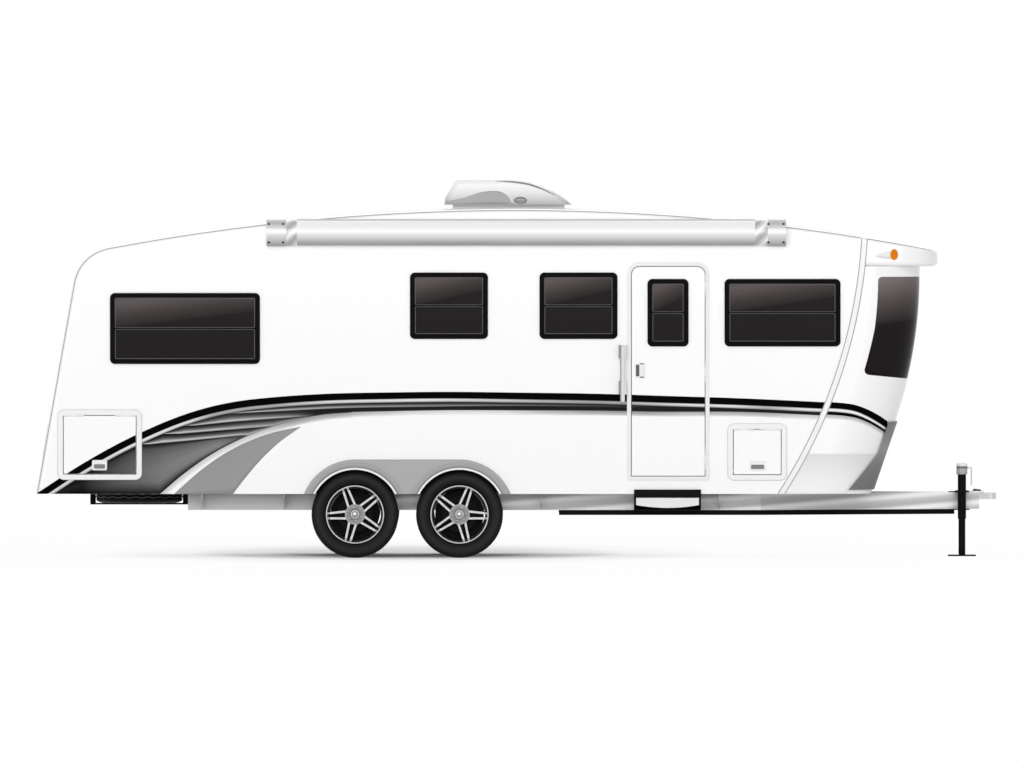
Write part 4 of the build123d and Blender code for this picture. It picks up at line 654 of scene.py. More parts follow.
# Entry door: a pale grey extruded frame screwed to the wall, a glazed leaf hung on it, and a flush latch with
# a dark finger pocket and two dark slots beside it.
frame_grey = finish("frame_extrusion", grey(226), 0.35, metallic=0.05, grain=500, relief=0.0001)
flange_proud, latch_proud, pocket_skin, pocket_corner = 0.008, 0.010, 0.0012, 0.006
leaf_skin = half_width + flange_proud
dress(frame_grey, "door_frame", "door_latch")
door_window = (1.096, 1.441, 1.777, 2.344)  # left, right, bottom, top
panes, charts, beads = glaze((door_window,), leaf_skin, (-1,))
pane = solid("door_pane", panes, window_tint_painted_reflection, "door", charts)
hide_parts("door_glass")
solid("door_beads", beads, bead_grey, "door")
pocket_dark = finish("latch_pocket", grey(74), 0.5, mottle=0.15, patch=20)
pocket_boxes = ((0.999, 1.027, 1.526, 1.624), (1.031, 1.067, 1.5145, 1.5235), (1.031, 1.067, 1.6265, 1.6355))
latch_face = leaf_skin + latch_proud
pockets, charts = zip(*[plate(rounded_loop(*box, pocket_corner), latch_face, latch_face + pocket_skin, -1)
                        for box in pocket_boxes])
solid("latch_pockets", pockets, pocket_dark, "door", charts)

# Baggage hatches: frames in the same extrusion, bedded in grey sealant, and a cast paddle latch on each leaf,
# pale above and dark below.
hatch_grey = finish("hatch_frame", grey(232), 0.35, metallic=0.05, mottle=0.02, grain=500, relief=0.0001)
dress(hatch_grey, "hatch_frames")
hatch_outlines = ((-3.856, -3.154, 0.659, 1.243), (1.772, 2.264, 0.655, 1.126))  # left, right, bottom, top
hatch_corner, bedding_radius = 0.052, 0.004
bedding_grey = finish("frame_bedding", grey(190), 0.6, mottle=0.05, patch=12)
bedding = [bead_round(rounded_loop(*box, hatch_corner), side * (half_width + bedding_radius), bedding_radius)
           for box in hatch_outlines for side in both_sides]
solid("hatch_bedding", bedding, bedding_grey, "root")
paddle_grey = finish("latch_paddle", grey(104), 0.4, metallic=0.3, mottle=0.1, patch=20)
latch_pale = finish("latch_body", grey(206), 0.35, metallic=0.3, mottle=0.06, patch=20)
hatch_latches = (("rear", -3.570, -3.444, 0.737), ("front", 1.949, 2.092, 0.733))  # name, left, right, bottom
latch_plates = (  # name, finish, inset at the sides, bottom and top above the latch's bottom, corner, proud
    ("latch_body", latch_pale, 0.001, 0.001, 0.085, 0.013, 0.008),
    ("latch_paddle", paddle_grey, 0.0165, 0.0145, 0.0515, 0.009, 0.016))
hands = (("right", -1), ("left", 1))
latch_skin = 0.0008
for name, left, right, bottom in hatch_latches:
    for hand, side in hands:
        for piece_name, material, inset, low, high, corner, proud in latch_plates:
            loop = rounded_loop(left + inset, right - inset, bottom + low, bottom + high, corner)
            face = leaf_skin + proud
            grid, chart = plate(loop, face, face + latch_skin, side)
            solid(f"{piece_name}_{name}_{hand}", [grid], material, f"hatch_{name}_{hand}_leaf",
                  [chart])


# Side stripes: printed vinyl film on the walls, door, rear hatches and cap, in black and silver with fine
# streaks. Each film ends under a frame or the seam strip, and is cut at the door and hatch edges.
def smooth(x, table):
    """Cubic Hermite curve through the rows (place, value), with slopes by central differences. It is
    flat past its ends."""
    places, values = np.array(table, float).T
    slope = np.gradient(values, places)
    k = np.clip(np.searchsorted(places, x) - 1, 0, len(places) - 2)
    span = places[k + 1] - places[k]
    t = np.clip((x - places[k]) / span, 0.0, 1.0)
    return ((2 * t**3 - 3 * t**2 + 1) * values[k] + (t**3 - 2 * t**2 + t) * span * slope[k]
            + (3 * t**2 - 2 * t**3) * values[k + 1] + (t**3 - t**2) * span * slope[k + 1])


def rolled(inside, radius):
    """Drop of a face that is rolled off by radius r towards its edge: sqrt(r^2 - (r - inside)^2) - r."""
    return np.sqrt(radius**2 - (radius - inside) ** 2) - radius


def wall_face(x, z):
    """Distance of a wall's skin from the middle plane, rolled off towards the raked rear edge."""
    inside = (x - rear_foot_x) * math.cos(rear_rake) - (z - body_bottom) * math.sin(rear_rake)
    return half_width + rolled(np.clip(inside, 0.002, edge_radius), edge_radius)


cap_front, cap_radius, cap_tangent, cap_knee, cap_corner = 3.390, 3.779, 2.375, 1.151, 0.420
cap_centre = cap_front - cap_radius


def cap_face(x, z):
    """Distance of the cap's skin from the middle plane: the flat side, rolled off by the corner radius
    towards the front face, which is an arc above the knee and a straight line below it."""
    lean = math.asin((cap_tangent - cap_knee) / cap_radius)
    over_arc = cap_radius - np.hypot(x - cap_centre, z - cap_tangent)
    over_line = cap_radius - ((x - cap_centre) * math.cos(lean) + (cap_tangent - z) * math.sin(lean))
    inside = np.clip(np.where(z > cap_knee, over_arc, over_line), 0.0, cap_corner)
    return half_width + rolled(inside, cap_corner)


def leaf_face(x, z):
    """Distance of a door or hatch leaf's skin from the middle plane, the same all over."""
    return leaf_skin


film_pitch, film_lift, film_thick, film_least = 0.008, 0.0003, 0.0007, 0.0004
film_rows = np.linspace(0.0, 1.0, 7)[:, None]


def faced(grid, side):
    """Grid as it is on the right side, and with its columns turned round on the left, to face outwards."""
    return grid if side < 0 else grid[:, ::-1]


def laid_on(skin, x, z, side):
    """Grid lifted a little off a skin: x, side * (skin(x, z) + lift), z."""
    return faced(points(x, side * (skin(x, z) + film_lift), z), side)


def film(name, bands, stretches, skin, sides, material, body):
    """Film between curves top(x) and bottom(x), one column for each pitch. A stretch cuts the columns to its
    X range and to heights between low and high; v is the share of the uncut height."""
    grids, charts = [], []
    for top, bottom in bands:
        for start, end, low, high in stretches:
            x = np.linspace(start, end, max(int((end - start) / film_pitch), 2) + 1)
            upper, lower = top(x), bottom(x)
            z_low, z_high = np.maximum(lower, low), np.minimum(upper, high)
            keep = np.flatnonzero(z_high - z_low > film_least)
            runs = np.split(keep, np.flatnonzero(np.diff(keep) > 1) + 1)
            for run in [run for run in runs if len(run) > 1]:
                z = z_low[run] + film_rows * (z_high - z_low)[run]
                share = (z - lower[run]) / (upper - lower)[run]
                chart = np.stack(np.broadcast_arrays(x[run], share), -1)
                grids += [laid_on(skin, x[run], z, side) for side in sides]
                charts += [faced(chart, side) for side in sides]
    if grids:
        sheet(name, grids, material, body, film_thick, charts)


def film_finish(name, stops, roughness=0.3, other=None, shares=None):
    """Film whose grey runs across it by v. A second set of greys takes over along X by the rows of place and
    share."""
    material = finish(name, grey(128), roughness, specular=0.01, patch=6)
    tree = material.node_tree
    _, v = chart_shares(tree)
    shades = ramp(tree, v, stops)
    if other:
        along = share_along(tree, shares[0][0], shares[-1][0], shares, "LINEAR")
        paint_mixed(material, along, shades, ramp(tree, v, other))
    else:
        paint(material, shades)
    return material


top_edge = ((-4.032, 0.545), (-3.667, 0.781), (-3.331, 0.970), (-3.079, 1.090), (-2.827, 1.193),
            (-2.575, 1.270), (-2.323, 1.320), (-2.071, 1.348), (-1.651, 1.377), (-1.063, 1.391),
            (-0.559, 1.3955), (0.029, 1.389), (0.701, 1.379), (1.205, 1.363), (1.877, 1.3415),
            (2.596, 1.308))
black_height = ((-4.03, 0.064), (-3.16, 0.059), (-2.31, 0.058), (-0.6, 0.054), (0.7, 0.057), (2.6, 0.054))
silver_height = ((-4.03, 0.040), (-3.16, 0.036), (-2.31, 0.032), (-0.6, 0.032), (0.7, 0.030), (2.6, 0.033))
dark_height = ((-1.386, 0.072), (-0.811, 0.069), (-0.1, 0.063), (0.701, 0.055), (1.205, 0.047),
               (1.877, 0.027), (2.6, 0.024))
pale_height = ((-3.0, 0.052), (-2.2, 0.048), (-1.8, 0.050), (-1.386, 0.042), (0.6, 0.040), (2.6, 0.038))
field_edge = ((-3.000, 0.538), (-2.827, 0.686), (-2.575, 0.866), (-2.323, 1.000), (-2.071, 1.098),
              (-1.945, 1.138), (-1.819, 1.170), (-1.651, 1.2015), (-1.386, 1.224))
streaks = (
    ((-3.083, 0.956), (-2.705, 0.990), (-2.327, 1.028)),
    ((-2.831, 1.043), (-2.453, 1.074), (-2.075, 1.103)),
    ((-2.705, 1.113), (-2.327, 1.149), (-1.823, 1.183)),
    ((-2.327, 1.217), (-1.823, 1.242), (-1.487, 1.257), (-0.815, 1.268), (0.025, 1.276), (1.200, 1.264)))
join_x, foot_x = field_edge[-1][0], field_edge[0][0]


def black_top(x):
    """Upper edge of the black band."""
    return smooth(x, top_edge)


def silver_top(x):
    """Lower edge of the black band."""
    return black_top(x) - smooth(x, black_height)


def dark_top(x):
    """Lower edge of the silver band."""
    return silver_top(x) - smooth(x, silver_height)


def dark_bottom(x):
    """Lower edge of the dark field: the sill, then its curve, then the band's own height."""
    curve = np.where(x < foot_x, body_bottom, smooth(x, field_edge))
    return np.where(x > join_x, dark_top(x) - smooth(x, dark_height), np.minimum(curve, dark_top(x)))


def pale_bottom(x):
    """Lower edge of the pale line under the dark field."""
    return dark_bottom(x) - smooth(x, pale_height)


def streak_line(number):
    """Lower edge of a light streak, kept inside the dark field."""
    return lambda x: np.clip(smooth(x, streaks[number]), dark_bottom(x), dark_top(x))


black_film = film_finish("film_black", ((0.0, 6), (0.5, 2), (1.0, 4)))
silver_film = film_finish(
    "film_silver", ((0.0, 60), (0.12, 150), (0.4, 215), (0.66, 240), (0.88, 196), (1.0, 80)), 0.3,
    ((0.0, 60), (0.15, 128), (0.5, 166), (0.82, 156), (1.0, 70)),
    ((-4.1, 0.3), (-3.0, 0.0), (-2.75, 0.1), (-2.55, 0.9), (-2.0, 0.9), (-1.6, 0.2), (-0.8, 0.0),
     (-0.2, 0.45), (0.2, 0.8), (0.7, 1.0), (1.1, 0.6), (1.45, 0.1), (1.8, 0.0), (2.1, 0.8), (2.4, 0.0),
     (3.2, 0.1)))
streak_film = film_finish(
    "film_streak", ((0.0, 96), (0.12, 200), (0.24, 184), (0.4, 112), (0.65, 56), (0.9, 18), (1.0, 14)), 0.3,
    ((0.0, 96), (0.15, 156), (0.35, 140), (0.55, 100), (0.8, 58), (1.0, 40)),
    ((-3.0, 0.0), (-2.5, 0.2), (-1.9, 1.0), (-1.6, 1.0)))
upper_streak_film = film_finish(
    "film_upper_streak", ((0.0, 80), (0.2, 196), (0.4, 150), (0.65, 70), (1.0, 30)), 0.3,
    ((0.0, 8), (0.5, 40), (1.0, 36)), ((-2.2, 0.0), (-1.4, 0.35), (0.0, 0.7), (1.2, 1.0)))
shade_film = film_finish(
    "film_shade", ((0.0, 110), (0.15, 200), (0.4, 120), (0.7, 60), (1.0, 36)), 0.3,
    ((0.0, 52), (0.3, 34), (0.7, 26), (1.0, 44)), ((-2.3, 0.0), (-1.95, 0.3), (-1.7, 1.0), (0.0, 1.0)))
field_film = film_finish(
    "film_field", ((0.0, 16), (0.05, 60), (0.12, 92), (0.25, 128), (0.45, 132), (0.7, 118), (0.88, 96),
                   (0.96, 46), (1.0, 28)), 0.32, ((0.0, 6), (0.5, 34), (1.0, 8)),
    ((-4.1, 1.0), (-3.65, 1.0), (-3.35, 0.6), (-2.95, 0.1), (-2.5, 0.0), (-2.35, 0.6), (-2.2, 1.0)))
pale_film = film_finish(
    "film_pale", ((0.0, 240), (0.25, 196), (0.55, 170), (1.0, 150)), 0.3,
    ((0.0, 248), (0.2, 238), (0.6, 222), (0.9, 216), (1.0, 130)),
    ((-3.0, 0.75), (-2.5, 0.8), (-2.1, 0.65), (-1.9, 0.05), (-1.5, 0.1), (-0.9, 0.9), (-0.5, 1.0),
     (-0.1, 1.0), (0.2, 0.5), (0.6, 0.1), (1.1, 0.0), (1.4, 0.35), (2.1, 0.2), (2.4, 0.8), (2.7, 0.8)))

hatch_left, hatch_right, hatch_low, hatch_high = -3.840, -3.170, 0.675, 1.227
leaf_cut = (-3.807, -3.203, 0.708, 1.194)  # left, right, bottom, top of a rear hatch leaf
door_left, door_right, leaf_left, leaf_right = 0.940, 1.601, 0.9645, 1.5765
sill, sky = body_bottom + 0.0006, 3.0  # no film reaches below the one or above the other
seam_lap, near_seam_x, pale_seam_z = 0.018, 2.59, 1.16  # where the films end under the seam strip
rear_stretches = ((-4.030, hatch_left, sill, sky), (hatch_left, hatch_right, hatch_high, sky),
                  (hatch_left, hatch_right, sill, hatch_low))
door_stretch = ((leaf_left, leaf_right, sill, sky),)


def wall_stretches(start, end, side):
    """Stretch of a wall from start to end, broken at the door on the right side."""
    if side > 0:
        return ((start, end, sill, sky),)
    return ((start, door_left, sill, sky), (door_right, end, sill, sky))


film_bands = {
    "black": (black_film, [(black_top, silver_top)]),
    "silver": (silver_film, [(silver_top, dark_top)]),
    "upper_streak": (upper_streak_film, [(dark_top, streak_line(3))]),
    "shade": (shade_film, [(streak_line(3), streak_line(2))]),
    "streak": (streak_film, [(streak_line(2), streak_line(1)), (streak_line(1), streak_line(0))]),
    "field": (field_film, [(streak_line(0), dark_bottom)]),
}
for name, (material, bands) in film_bands.items():
    seam_end = float(seam_at(bands[0][0](np.array([near_seam_x]))[0] - seam_lap))
    for hand, side in hands:
        stretches = rear_stretches + wall_stretches(hatch_right, seam_end, side)
        film(f"stripe_{name}_{hand}", bands, stretches, wall_face, (side,), material, "root")
        film(f"stripe_{name}_hatch_{hand}", bands, (leaf_cut,), leaf_face, (side,), material,
             f"hatch_rear_{hand}_leaf")
    film(f"stripe_{name}_door", bands, door_stretch, leaf_face, (-1,), material, "door")
pale_band = [(dark_bottom, pale_bottom)]
pale_end = float(seam_at(pale_seam_z))
for hand, side in hands:
    film(f"stripe_pale_{hand}", pale_band, wall_stretches(foot_x + 0.004, pale_end, side), wall_face, (side,),
         pale_film, "root")
film("stripe_pale_door", pale_band, door_stretch, leaf_face, (-1,), pale_film, "door")

swoosh_upper = ((-2.881, 0.538), (-2.675, 0.722), (-2.461, 0.874), (-2.246, 0.983), (-2.033, 1.058),
                (-1.818, 1.103))
swoosh_lower = ((-2.386, 0.538), (-2.310, 0.638), (-2.184, 0.790), (-2.033, 0.941), (-1.818, 1.100))


def swoosh_top(x):
    """Upper edge of the grey swoosh ahead of the dark field."""
    return smooth(x, swoosh_upper)


def swoosh_bottom(x):
    """Lower edge of the swoosh: the sill, then its curve."""
    return np.where(x < swoosh_lower[0][0], body_bottom, smooth(x, swoosh_lower))


swoosh_film = film_finish("film_swoosh", ((0.0, 156), (1.0, 152)), 0.35)
film("stripe_swoosh", [(swoosh_top, swoosh_bottom)], ((swoosh_upper[0][0], swoosh_upper[-1][0], sill, sky),),
     wall_face, both_sides, swoosh_film, "root")

cap_top = ((2.58, 1.312), (2.638, 1.309), (2.760, 1.299), (2.855, 1.282), (2.920, 1.259), (2.984, 1.229),
           (3.060, 1.185), (3.140, 1.127))
# Each edge of a cap stripe lies this far below the top curve, at the seam and at the guard.
cap_cuts = ((0.0, 0.0), (0.0495, 0.063), (0.082, 0.090), (0.106, 0.110), (0.140, 0.145))
cut_start, cut_length, seam_height, cap_end, cap_end_slant = 2.80, 0.25, 1.305, 3.135, 0.35


def cap_cut(number):
    """Edge of a cap stripe: the top curve less a distance that runs from its first value to its second over
    the length from the start of the cut."""
    near, far = cap_cuts[number]
    return lambda x: (smooth(x, cap_top) - near
                      - (far - near) * np.clip((x - cut_start) / cut_length, 0.0, 1.0))


cap_silver_film = film_finish(
    "film_cap_silver", ((0.0, 100), (0.25, 216), (0.5, 252), (0.75, 226), (1.0, 84)))
cap_pale_film = film_finish("film_cap_pale", ((0.0, 244), (0.35, 212), (0.75, 188), (1.0, 178)))
cap_films = (("black", black_film), ("silver", cap_silver_film), ("dark", black_film),
             ("pale", cap_pale_film))
for number, (name, material) in enumerate(cap_films):
    start = float(seam_at(seam_height - (cap_cuts[number][0] + cap_cuts[number + 1][0]) / 2, 0.004))
    end = cap_end - cap_end_slant * cap_cuts[number + 1][1]
    film(f"cap_stripe_{name}", [(cap_cut(number), cap_cut(number + 1))], ((start, end, sill, sky),), cap_face,
         both_sides, material, "root")

# Lower cap panel: a sheet laid on the cap between the seam strip and the rock guard, whose edges lap over it.
# Its pale grey is painted shade, darkening up the panel.
panel_low, panel_high, panel_lap = body_bottom + 0.004, 0.876, 0.006
guard_edge = ((0.538, 2.757), (0.571, 2.785), (0.874, 3.039), (0.900, 3.050))  # height, place along X
panel_painted_shade = film_finish(
    "lower_cap_painted_shade_film", ((0.0, 246), (0.3, 243), (0.7, 233), (0.95, 226), (1.0, 234)), 0.25)
z = np.linspace(panel_low, panel_high, 30)[:, None]
rear_x = seam_at(z, panel_lap)
front_x = np.interp(z, *np.array(guard_edge).T) + panel_lap
x = rear_x + np.linspace(0.0, 1.0, 70) * (front_x - rear_x)
chart = np.stack(np.broadcast_arrays(x, (z - panel_low) / (panel_high - panel_low)), -1)
sheet("lower_cap_painted_shade_sheet", [laid_on(cap_face, x, z, side) for side in both_sides], panel_painted_shade, "root",
      film_thick, [faced(chart, side) for side in both_sides])

# Windscreen border: a black film stuck on the cap round the lower rear corner of the screen. It carries the
# screen's dark outline down to a nearly level edge.
screen_rear, border_top, border_end = 3.423, 1.930, 3.275  # radius of the rear edge, height and X of the ends
corner_runs = (  # lower rear corner, lean of the rear line, slope of the lower line, corner radius
    ((2.940, 1.579), 0.2325, -0.2107, 0.035),
    ((2.907, 1.543), 0.300, -0.102, 0.040))


def screen_edge(z):
    """Place along X of the screen's rear edge at height z, on an arc about the centre of the cap's face."""
    return cap_centre + np.sqrt(screen_rear**2 - (z - cap_tangent) ** 2)


def corner_run(foot, slant, slope, radius):
    """Line down to a foot point, a circular arc and a line forward: the arc is the weighted quadratic curve
    (A (1-t)^2 + 2 w P t (1-t) + B t^2) / ((1-t)^2 + 2 w t (1-t) + t^2), with w the sine of half the angle
    at P. The rear line leans by slant of X to Z at its foot, and follows the arc of the screen above it."""
    foot = np.array(foot)
    up = np.array([slant, 1.0]) / math.hypot(slant, 1.0)
    ahead = np.array([1.0, slope]) / math.hypot(1.0, slope)
    half_angle = math.acos(up @ ahead) / 2
    reach, w = radius / math.tan(half_angle), math.sin(half_angle)
    t = np.linspace(0.0, 1.0, 12)[:, None]
    bend = ((foot + reach * up) * (1 - t) ** 2 + 2 * w * foot * t * (1 - t) + (foot + reach * ahead) * t**2)
    bend /= (1 - t) ** 2 + 2 * w * t * (1 - t) + t**2
    (bend_x, bend_z), (level_x, level_z) = bend[0], bend[-1]
    z = np.linspace(border_top, bend_z, 20)[:-1]
    drop = (border_top - z) / (border_top - bend_z)
    rear = np.stack([screen_edge(z) + drop * (bend_x - screen_edge(bend_z)), z], -1)
    s = 1.0 - (1.0 - np.linspace(0.0, 1.0, 40)[1:]) ** 2
    x = level_x + s * (border_end - level_x)
    return np.concatenate([rear, bend, np.stack([x, level_z + (x - level_x) * slope], -1)])


inner, outer = [corner_run(*row) for row in corner_runs]
x, z = np.moveaxis(outer + np.linspace(0.0, 1.0, 4)[:, None, None] * (inner - outer), -1, 0)
border_black = finish("screen_border", tone(28, 24, 25), 0.25, specular=0.02, mottle=0.08, patch=8)
sheet("screen_border", [laid_on(cap_face, x, z, side) for side in both_sides], border_black, "root",
      film_thick)

# Grab handle: a white moulded tube on two brackets, screwed to the wall beside the door. Painted shade greys
# its rear side, and a painted highlight lies towards its front.
handle_white = finish("handle_moulding", grey(214), 0.35, mottle=0.03, grain=400, relief=0.0002)
paint_along(handle_white, "X", 0.854, 0.918, ((0.0, 120), (0.22, 150), (0.42, 214), (0.75, 238), (1.0, 206)))
dress(handle_white, "grab_handle")

# Entry step: a housing of black steel bolted under the floor, and an aluminium tread with a bowed nosing that
# slides out of it on runners.
step_alloy = finish("step_tread_alloy", grey(186), 0.35, metallic=0.5, grain=400, relief=0.0003)
dress(black_paint, "step_housing")
dress(step_alloy, "step_tread")


# Awning: a white painted roller cassette hung on a rail along the roof edge, with alloy sections and screwed
# caps at its ends. Painted shade darkens the cassette towards its bottom, the sections carry painted
# highlights in slanted bands, and the caps carry painted shade above and below a lighter middle.
def circle_through(a, b, c):
    """Centre and radius of the circle through three points: the centre is as far from a as from b and c."""
    a, b, c = np.array([a, b, c])
    centre = np.linalg.solve(2 * np.array([b - a, c - a]), np.array([b @ b - a @ a, c @ c - a @ a]))
    return centre, np.linalg.norm(a - centre)


case_white = finish("awning_case_paint", grey(240), 0.3, coat=0.2, mottle=0.02)
# Painted shade: the cassette darkens towards its bottom.
paint_along(case_white, "Z", 2.625, 2.839, ((0.0, 158), (0.12, 176), (0.3, 214), (0.55, 240), (0.94, 246),
                                            (1.0, 246)))
dress(case_white, "awning_case")
awning_alloy = finish("awning_alloy_painted_gleams", grey(206), 0.32, metallic=0.1, grain=500, relief=0.0002)
tree = awning_alloy.node_tree
# Painted highlights in slanted bands on the sections, and painted shade on the caps, darker at top and
# bottom.
slanted_painted_gleams = gleam(tree, 0.94, 0.141, 0.53, ((0.0, 168), (0.25, 196), (0.5, 250), (0.7, 210), (1.0, 168)))
cap_low, cap_high = 2.620, 2.844
end_cap_painted_shade = ramp(tree, along_axis(tree, "Z", cap_low, cap_high), (
    (0.0, 158), (0.12, 186), (0.3, 208), (0.5, 228), (0.66, 218), (0.86, 186), (1.0, 176)))
cap_share = share_along(tree, -2.2, 2.3, ((-2.2, 1.0), (-1.943, 0.0), (2.092, 1.0)))
paint_mixed(awning_alloy, cap_share, slanted_painted_gleams, end_cap_painted_shade)
dress(awning_alloy, "awning_ends")
(round_y, round_z), round_radius = circle_through((1.237, cap_high), (1.336, 2.742), (1.259, cap_low))
x, z = [grid.ravel() for grid in np.meshgrid((-2.084, -1.965, 2.111, 2.238), (2.652, 2.806))]
depth = round_y + np.sqrt(round_radius**2 - (z - round_z) ** 2)
normal = points(np.zeros_like(x), -(depth - round_y) / round_radius, (z - round_z) / round_radius)
screw_profile = ((0.0, -0.001), (0.011, -0.001), (0.0105, 0.003), (0.007, 0.0055), (0.0, 0.006))
screw_dark = finish("awning_screw", grey(44), 0.35, metallic=0.5, mottle=0.1, patch=30)
screws = turned_heads(points(x, -depth, z), normal, screw_profile)
solid("awning_screws", screws, screw_dark, "root")
rail_grey = finish("awning_rail", grey(176), 0.35, metallic=0.4, mottle=0.05)
rail_start, rail_end, rail_y, rail_z, rail_radius = -1.846, 1.997, -1.2445, 2.8395, 0.008
rail = tube_along(np.linspace(rail_start, rail_end, 40), rail_y, rail_z, rail_radius, sides=10)
solid("awning_rail", [rail], rail_grey, "root")

# Roof unit: a moulded white shroud on a grey gasketed base, screwed to the roof, with a louvred oval vent on
# each side. Painted shade darkens the shroud towards its foot, a grey sheet on each side is painted shade for
# a side recess, and a dark tube along each shoulder is painted shade in its crease.
shroud_half, shroud_fillet, shroud_low, shroud_high = 0.350, 0.055, 2.963, 3.175
shroud_white = finish("shroud_moulding", grey(236), 0.38, mottle=0.02, grain=300, relief=0.0002)
# Painted shade: the shroud darkens towards its foot.
paint_along(shroud_white, "Z", shroud_low, 3.150, (
    (0.0, 172), (0.18, 196), (0.5, 226), (0.8, 242), (1.0, 244)))
gasket_grey = finish("roof_unit_gasket", grey(214), 0.6, mottle=0.04)
dress(shroud_white, "roof_unit_shroud")
dress(gasket_grey, "roof_unit_base")


def shroud_face(x, z):
    """Distance of the shroud's flat side from the middle plane."""
    return shroud_half


recess_edge = ((-0.598, 2.992), (-0.454, 3.019), (-0.294, 3.070), (-0.194, 3.078), (-0.133, 3.069),
               (-0.071, 3.025), (-0.040, 2.976))
recess_low, recess_thick = shroud_low + 0.006, 0.0015
# The grey sheet on each side is painted shade standing for a side recess.
recess_painted_shade = finish("shroud_recess_painted_shade", grey(168), 0.5, mottle=0.03, grain=300, relief=0.0002)
x = np.linspace(recess_edge[0][0], recess_edge[-1][0], 90)
z = recess_low + np.linspace(0.0, 1.0, 5)[:, None] * (smooth(x, recess_edge) - recess_low)
sheet("shroud_recess_painted_shade", [laid_on(shroud_face, x, z, side) for side in both_sides], recess_painted_shade, "root",
      recess_thick)
rim_pale = finish("shroud_rim", grey(246), 0.35, mottle=0.02)
rim_start, rim_end, rim_radius, rim_ahead, rim_out = -0.150, -0.042, 0.004, 0.006, 0.001
rim_x = np.linspace(rim_start, rim_end, 30)
rim_z = smooth(rim_x, recess_edge) + rim_radius
rims = [tube_along(rim_x + rim_ahead, side * (shroud_half + rim_out), rim_z, rim_radius)
        for side in both_sides]
solid("shroud_rims", rims, rim_pale, "root")
# One grey serves the vent's ring and slats, and the painted shade in the shoulder creases.
vent_grey_and_crease_shade = finish("shroud_vent", grey(124), 0.5, mottle=0.08, patch=12)
oval_x, oval_z, oval_long, oval_short, oval_radius, oval_out = 0.030, 3.000, 0.050, 0.024, 0.005, 0.0015
slat_rise, slat_radius, slat_gap, slat_out = 0.012, 0.003, 0.004, 0.001
turn = np.linspace(0.0, full_turn, 48, endpoint=False)
oval = np.stack([oval_x + oval_long * np.cos(turn), oval_z + oval_short * np.sin(turn)], -1)
vent = []
for side in both_sides:
    vent.append(bead_round(oval, side * (shroud_half + oval_out), oval_radius))
    for rise in (-slat_rise, 0.0, slat_rise):
        reach = oval_long * math.sqrt(1.0 - (rise / oval_short) ** 2) - slat_gap
        slat_x = oval_x + np.linspace(-reach, reach, 8)
        vent.append(tube_along(slat_x, side * (shroud_half + slat_out), oval_z + rise, slat_radius))
solid("shroud_vent", vent, vent_grey_and_crease_shade, "root")
crease_line = ((-0.182, 3.162), (0.000, 3.150), (0.089, 3.136), (0.200, 3.099), (0.323, 3.043))
crown_start = -0.133  # X where the flat top turns into the crown's arc
crown, crown_radius = circle_through((crown_start, shroud_high), (0.197, 3.126), (0.462, shroud_low))
x = np.linspace(crease_line[0][0], crease_line[-1][0], 60)
z = smooth(x, crease_line)
drop = np.where(x > crown_start, crown_radius - np.hypot(x - crown[0], z - crown[1]), shroud_high - z)
crease_y = shroud_half + rolled(np.clip(drop, 0.001, shroud_fillet), shroud_fillet)
crease_end, crease_swell = 0.0025, 0.0055  # radius at the ends, and what its middle has more
swell = crease_end + crease_swell * np.sin(np.linspace(0.0, math.pi, 60))[:, None, None]
# The dark tubes along the shoulders are painted shade in the creases.
creases = [tube_along(x, side * crease_y, z, swell) for side in both_sides]
solid("shroud_crease_shade", creases, vent_grey_and_crease_shade, "root")

# Lamps: amber markers on the brow, each behind a white teardrop fairing, and red tail lamps on the rear wall.
# The lenses and fairings are moulded plastic, screwed on.
amber = finish("amber_lens", tone(222, 124, 8), 0.2, specular=0.03, mottle=0.14, patch=40)
red = finish("red_lens", tone(150, 16, 18), 0.15, coat=0.5, mottle=0.15, patch=30)
dress(amber, "marker_lamps")
dress(red, "tail_lamps")
lamp_x, lamp_z, fairing_length, fairing_half, fairing_proud = 3.160, 2.545, 0.150, 0.036, 0.012
fairing_drop, tail_start = 0.010, 0.8
s = np.linspace(0.0, 1.0, 24)[:, None]
turn = np.linspace(0.0, full_turn, 24, endpoint=False)
tail = np.clip((s - tail_start) / (1.0 - tail_start), 0.0, 1.0)
swell = np.sqrt(s) * np.sqrt(1.0 - tail**2)
fairing_x = lamp_x - fairing_length * (1.0 - s)
fairing_y = half_width + fairing_proud * swell * np.cos(turn)
fairing_z = lamp_z - fairing_drop * (1.0 - s) + fairing_half * swell * np.sin(turn)
fairings = [points(fairing_x, side * fairing_y, fairing_z) for side in both_sides]
fairing_grey = finish("marker_fairing", grey(222), 0.3, coat=0.3, mottle=0.04, patch=12)
solid("marker_fairings", fairings, fairing_grey, "root")


# Stage: a pale floor that turns to plain white away from the wheels, and a sky that is white to the eye and
# in reflections but gives a softer light. Two broad lamps light the right side and, more weakly, the left.
def seen_rays(tree):
    """1 for camera, glossy and transmission rays, 0 for the rest."""
    path = add_node(tree, "LightPath").outputs
    direct = reckon(tree, "MAXIMUM", path["Is Camera Ray"], path["Is Glossy Ray"])
    return reckon(tree, "MAXIMUM", direct, path["Is Transmission Ray"])


def mix_shaders(tree, share, first, second, output):
    """Surface that goes from the first shader to the second by a share."""
    mixed = add_node(tree, "MixShader", {"Fac": share, 1: first.outputs[0], 2: second.outputs[0]})
    tree.links.new(mixed.outputs[0], tree.nodes[output].inputs["Surface"])


floor_half = 300.0
fade_centre, fade_squeeze, fade_reach = (-0.922, 0.7, 0.0), (1.0, 0.45, 1.0), 9.0
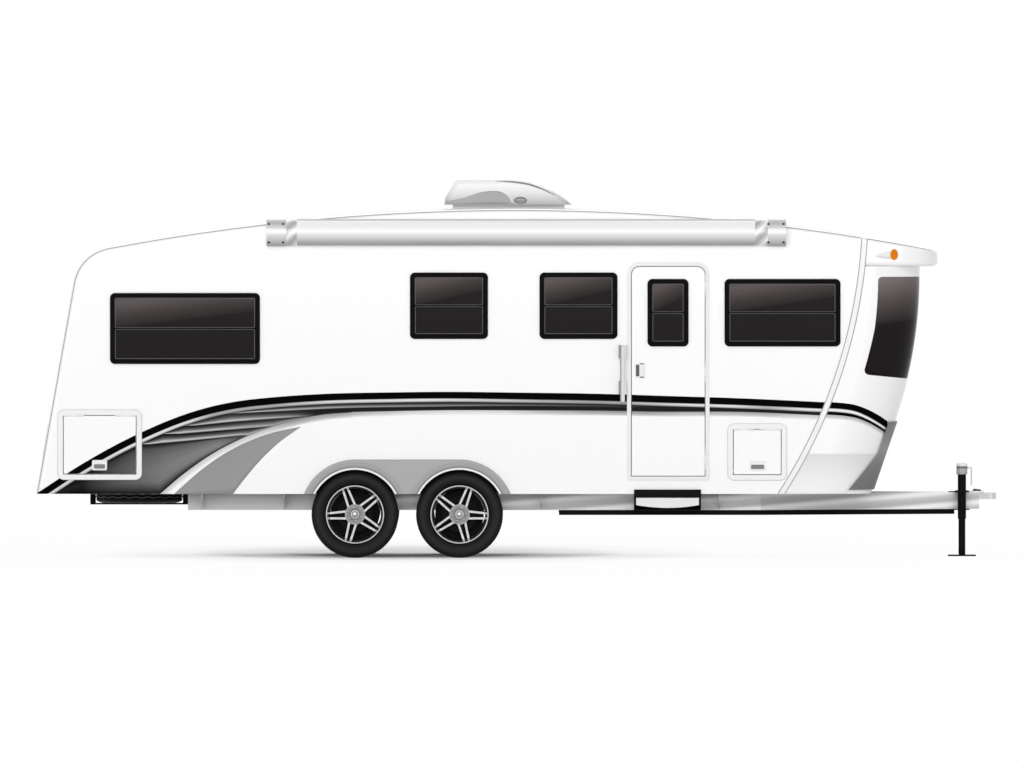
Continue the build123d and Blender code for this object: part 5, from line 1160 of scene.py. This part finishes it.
# Distance from the wheels, and share of plain white there.
fade_rows = ((0.0, 0.0), (0.9, 0.05), (1.4, 0.38), (2.0, 0.8), (2.8, 0.95), (9.0, 1.0))
corners = floor_half * np.array([[(-1.0, -1.0, 0.0), (1.0, -1.0, 0.0)], [(-1.0, 1.0, 0.0), (1.0, 1.0, 0.0)]])
ground_white = finish("ground_white", grey(247), 0.9, specular=0.1, mottle=0.004)
ground = grid_piece("ground", [corners], ground_white)
tree = ground_white.node_tree
squeezed = add_node(tree, "VectorMath", {0: object_place(tree), 1: fade_squeeze}, operation="MULTIPLY")
away = add_node(tree, "VectorMath", {0: squeezed.outputs[0], 1: fade_centre}, operation="DISTANCE")
fade = ramp(tree, share_between(tree, away.outputs["Value"], 0.0, fade_reach),
            [(distance / fade_reach, even(share)) for distance, share in fade_rows], "EASE")
glow = add_node(tree, "Emission")
mix_shaders(tree, reckon(tree, "MULTIPLY", seen_rays(tree), fade), tree.nodes["Principled BSDF"], glow,
            "Material Output")

world = bpy.data.worlds.new("studio_sky")
bpy.context.scene.world = world
world.use_nodes = True
tree = world.node_tree
sky_light = tree.nodes["Background"]
sky_light.inputs["Color"].default_value = even(1.0)
sky_light.inputs["Strength"].default_value = 0.5
plain_white = add_node(tree, "Background", {"Color": even(1.0), "Strength": 1.0})
mix_shaders(tree, seen_rays(tree), sky_light, plain_white, "World Output")

lamps = (("key_sun", 1.54, 45.0, (77.0, 0.0, -8.0)), ("fill_sun", 0.9, 60.0, (55.0, 0.0, 172.0)))
for name, power, spread, turns in lamps:
    sun = bpy.data.lights.new(name, "SUN")
    sun.energy = power
    sun.angle = math.radians(spread)
    lamp = bpy.data.objects.new(name, sun)
    lamp.rotation_euler = [math.radians(degrees) for degrees in turns]
    bpy.context.scene.collection.objects.link(lamp)

# Camera: square to the right side from far off and a little above, so that the near wall shows 8.4 mm to a
# pixel and the ground lies on its row of the image.
metres_per_pixel, image_width, image_height = 0.0084, 1024, 768
ground_row, middle_column, camera_distance, camera_tilt = 558, 517, 285.0, 0.016
camera_height = camera_tilt * camera_distance
target_x = (image_width / 2 - middle_column) * metres_per_pixel
target_z = (ground_row - image_height / 2) * metres_per_pixel
sight_line = math.hypot(camera_distance, camera_height - target_z)
view = bpy.data.cameras.new("camera")
view.sensor_width = 36.0
view.lens = view.sensor_width * sight_line / (image_width * metres_per_pixel)
view.clip_end = 2000.0
camera = bpy.data.objects.new("camera", view)
camera.location = (target_x, -half_width - camera_distance, camera_height)
camera.rotation_euler = (math.pi / 2 - math.atan2(camera_height - target_z, camera_distance), 0.0, 0.0)
bpy.context.scene.collection.objects.link(camera)
bpy.context.scene.camera = camera
bpy.context.scene.view_settings.view_transform = "Standard"
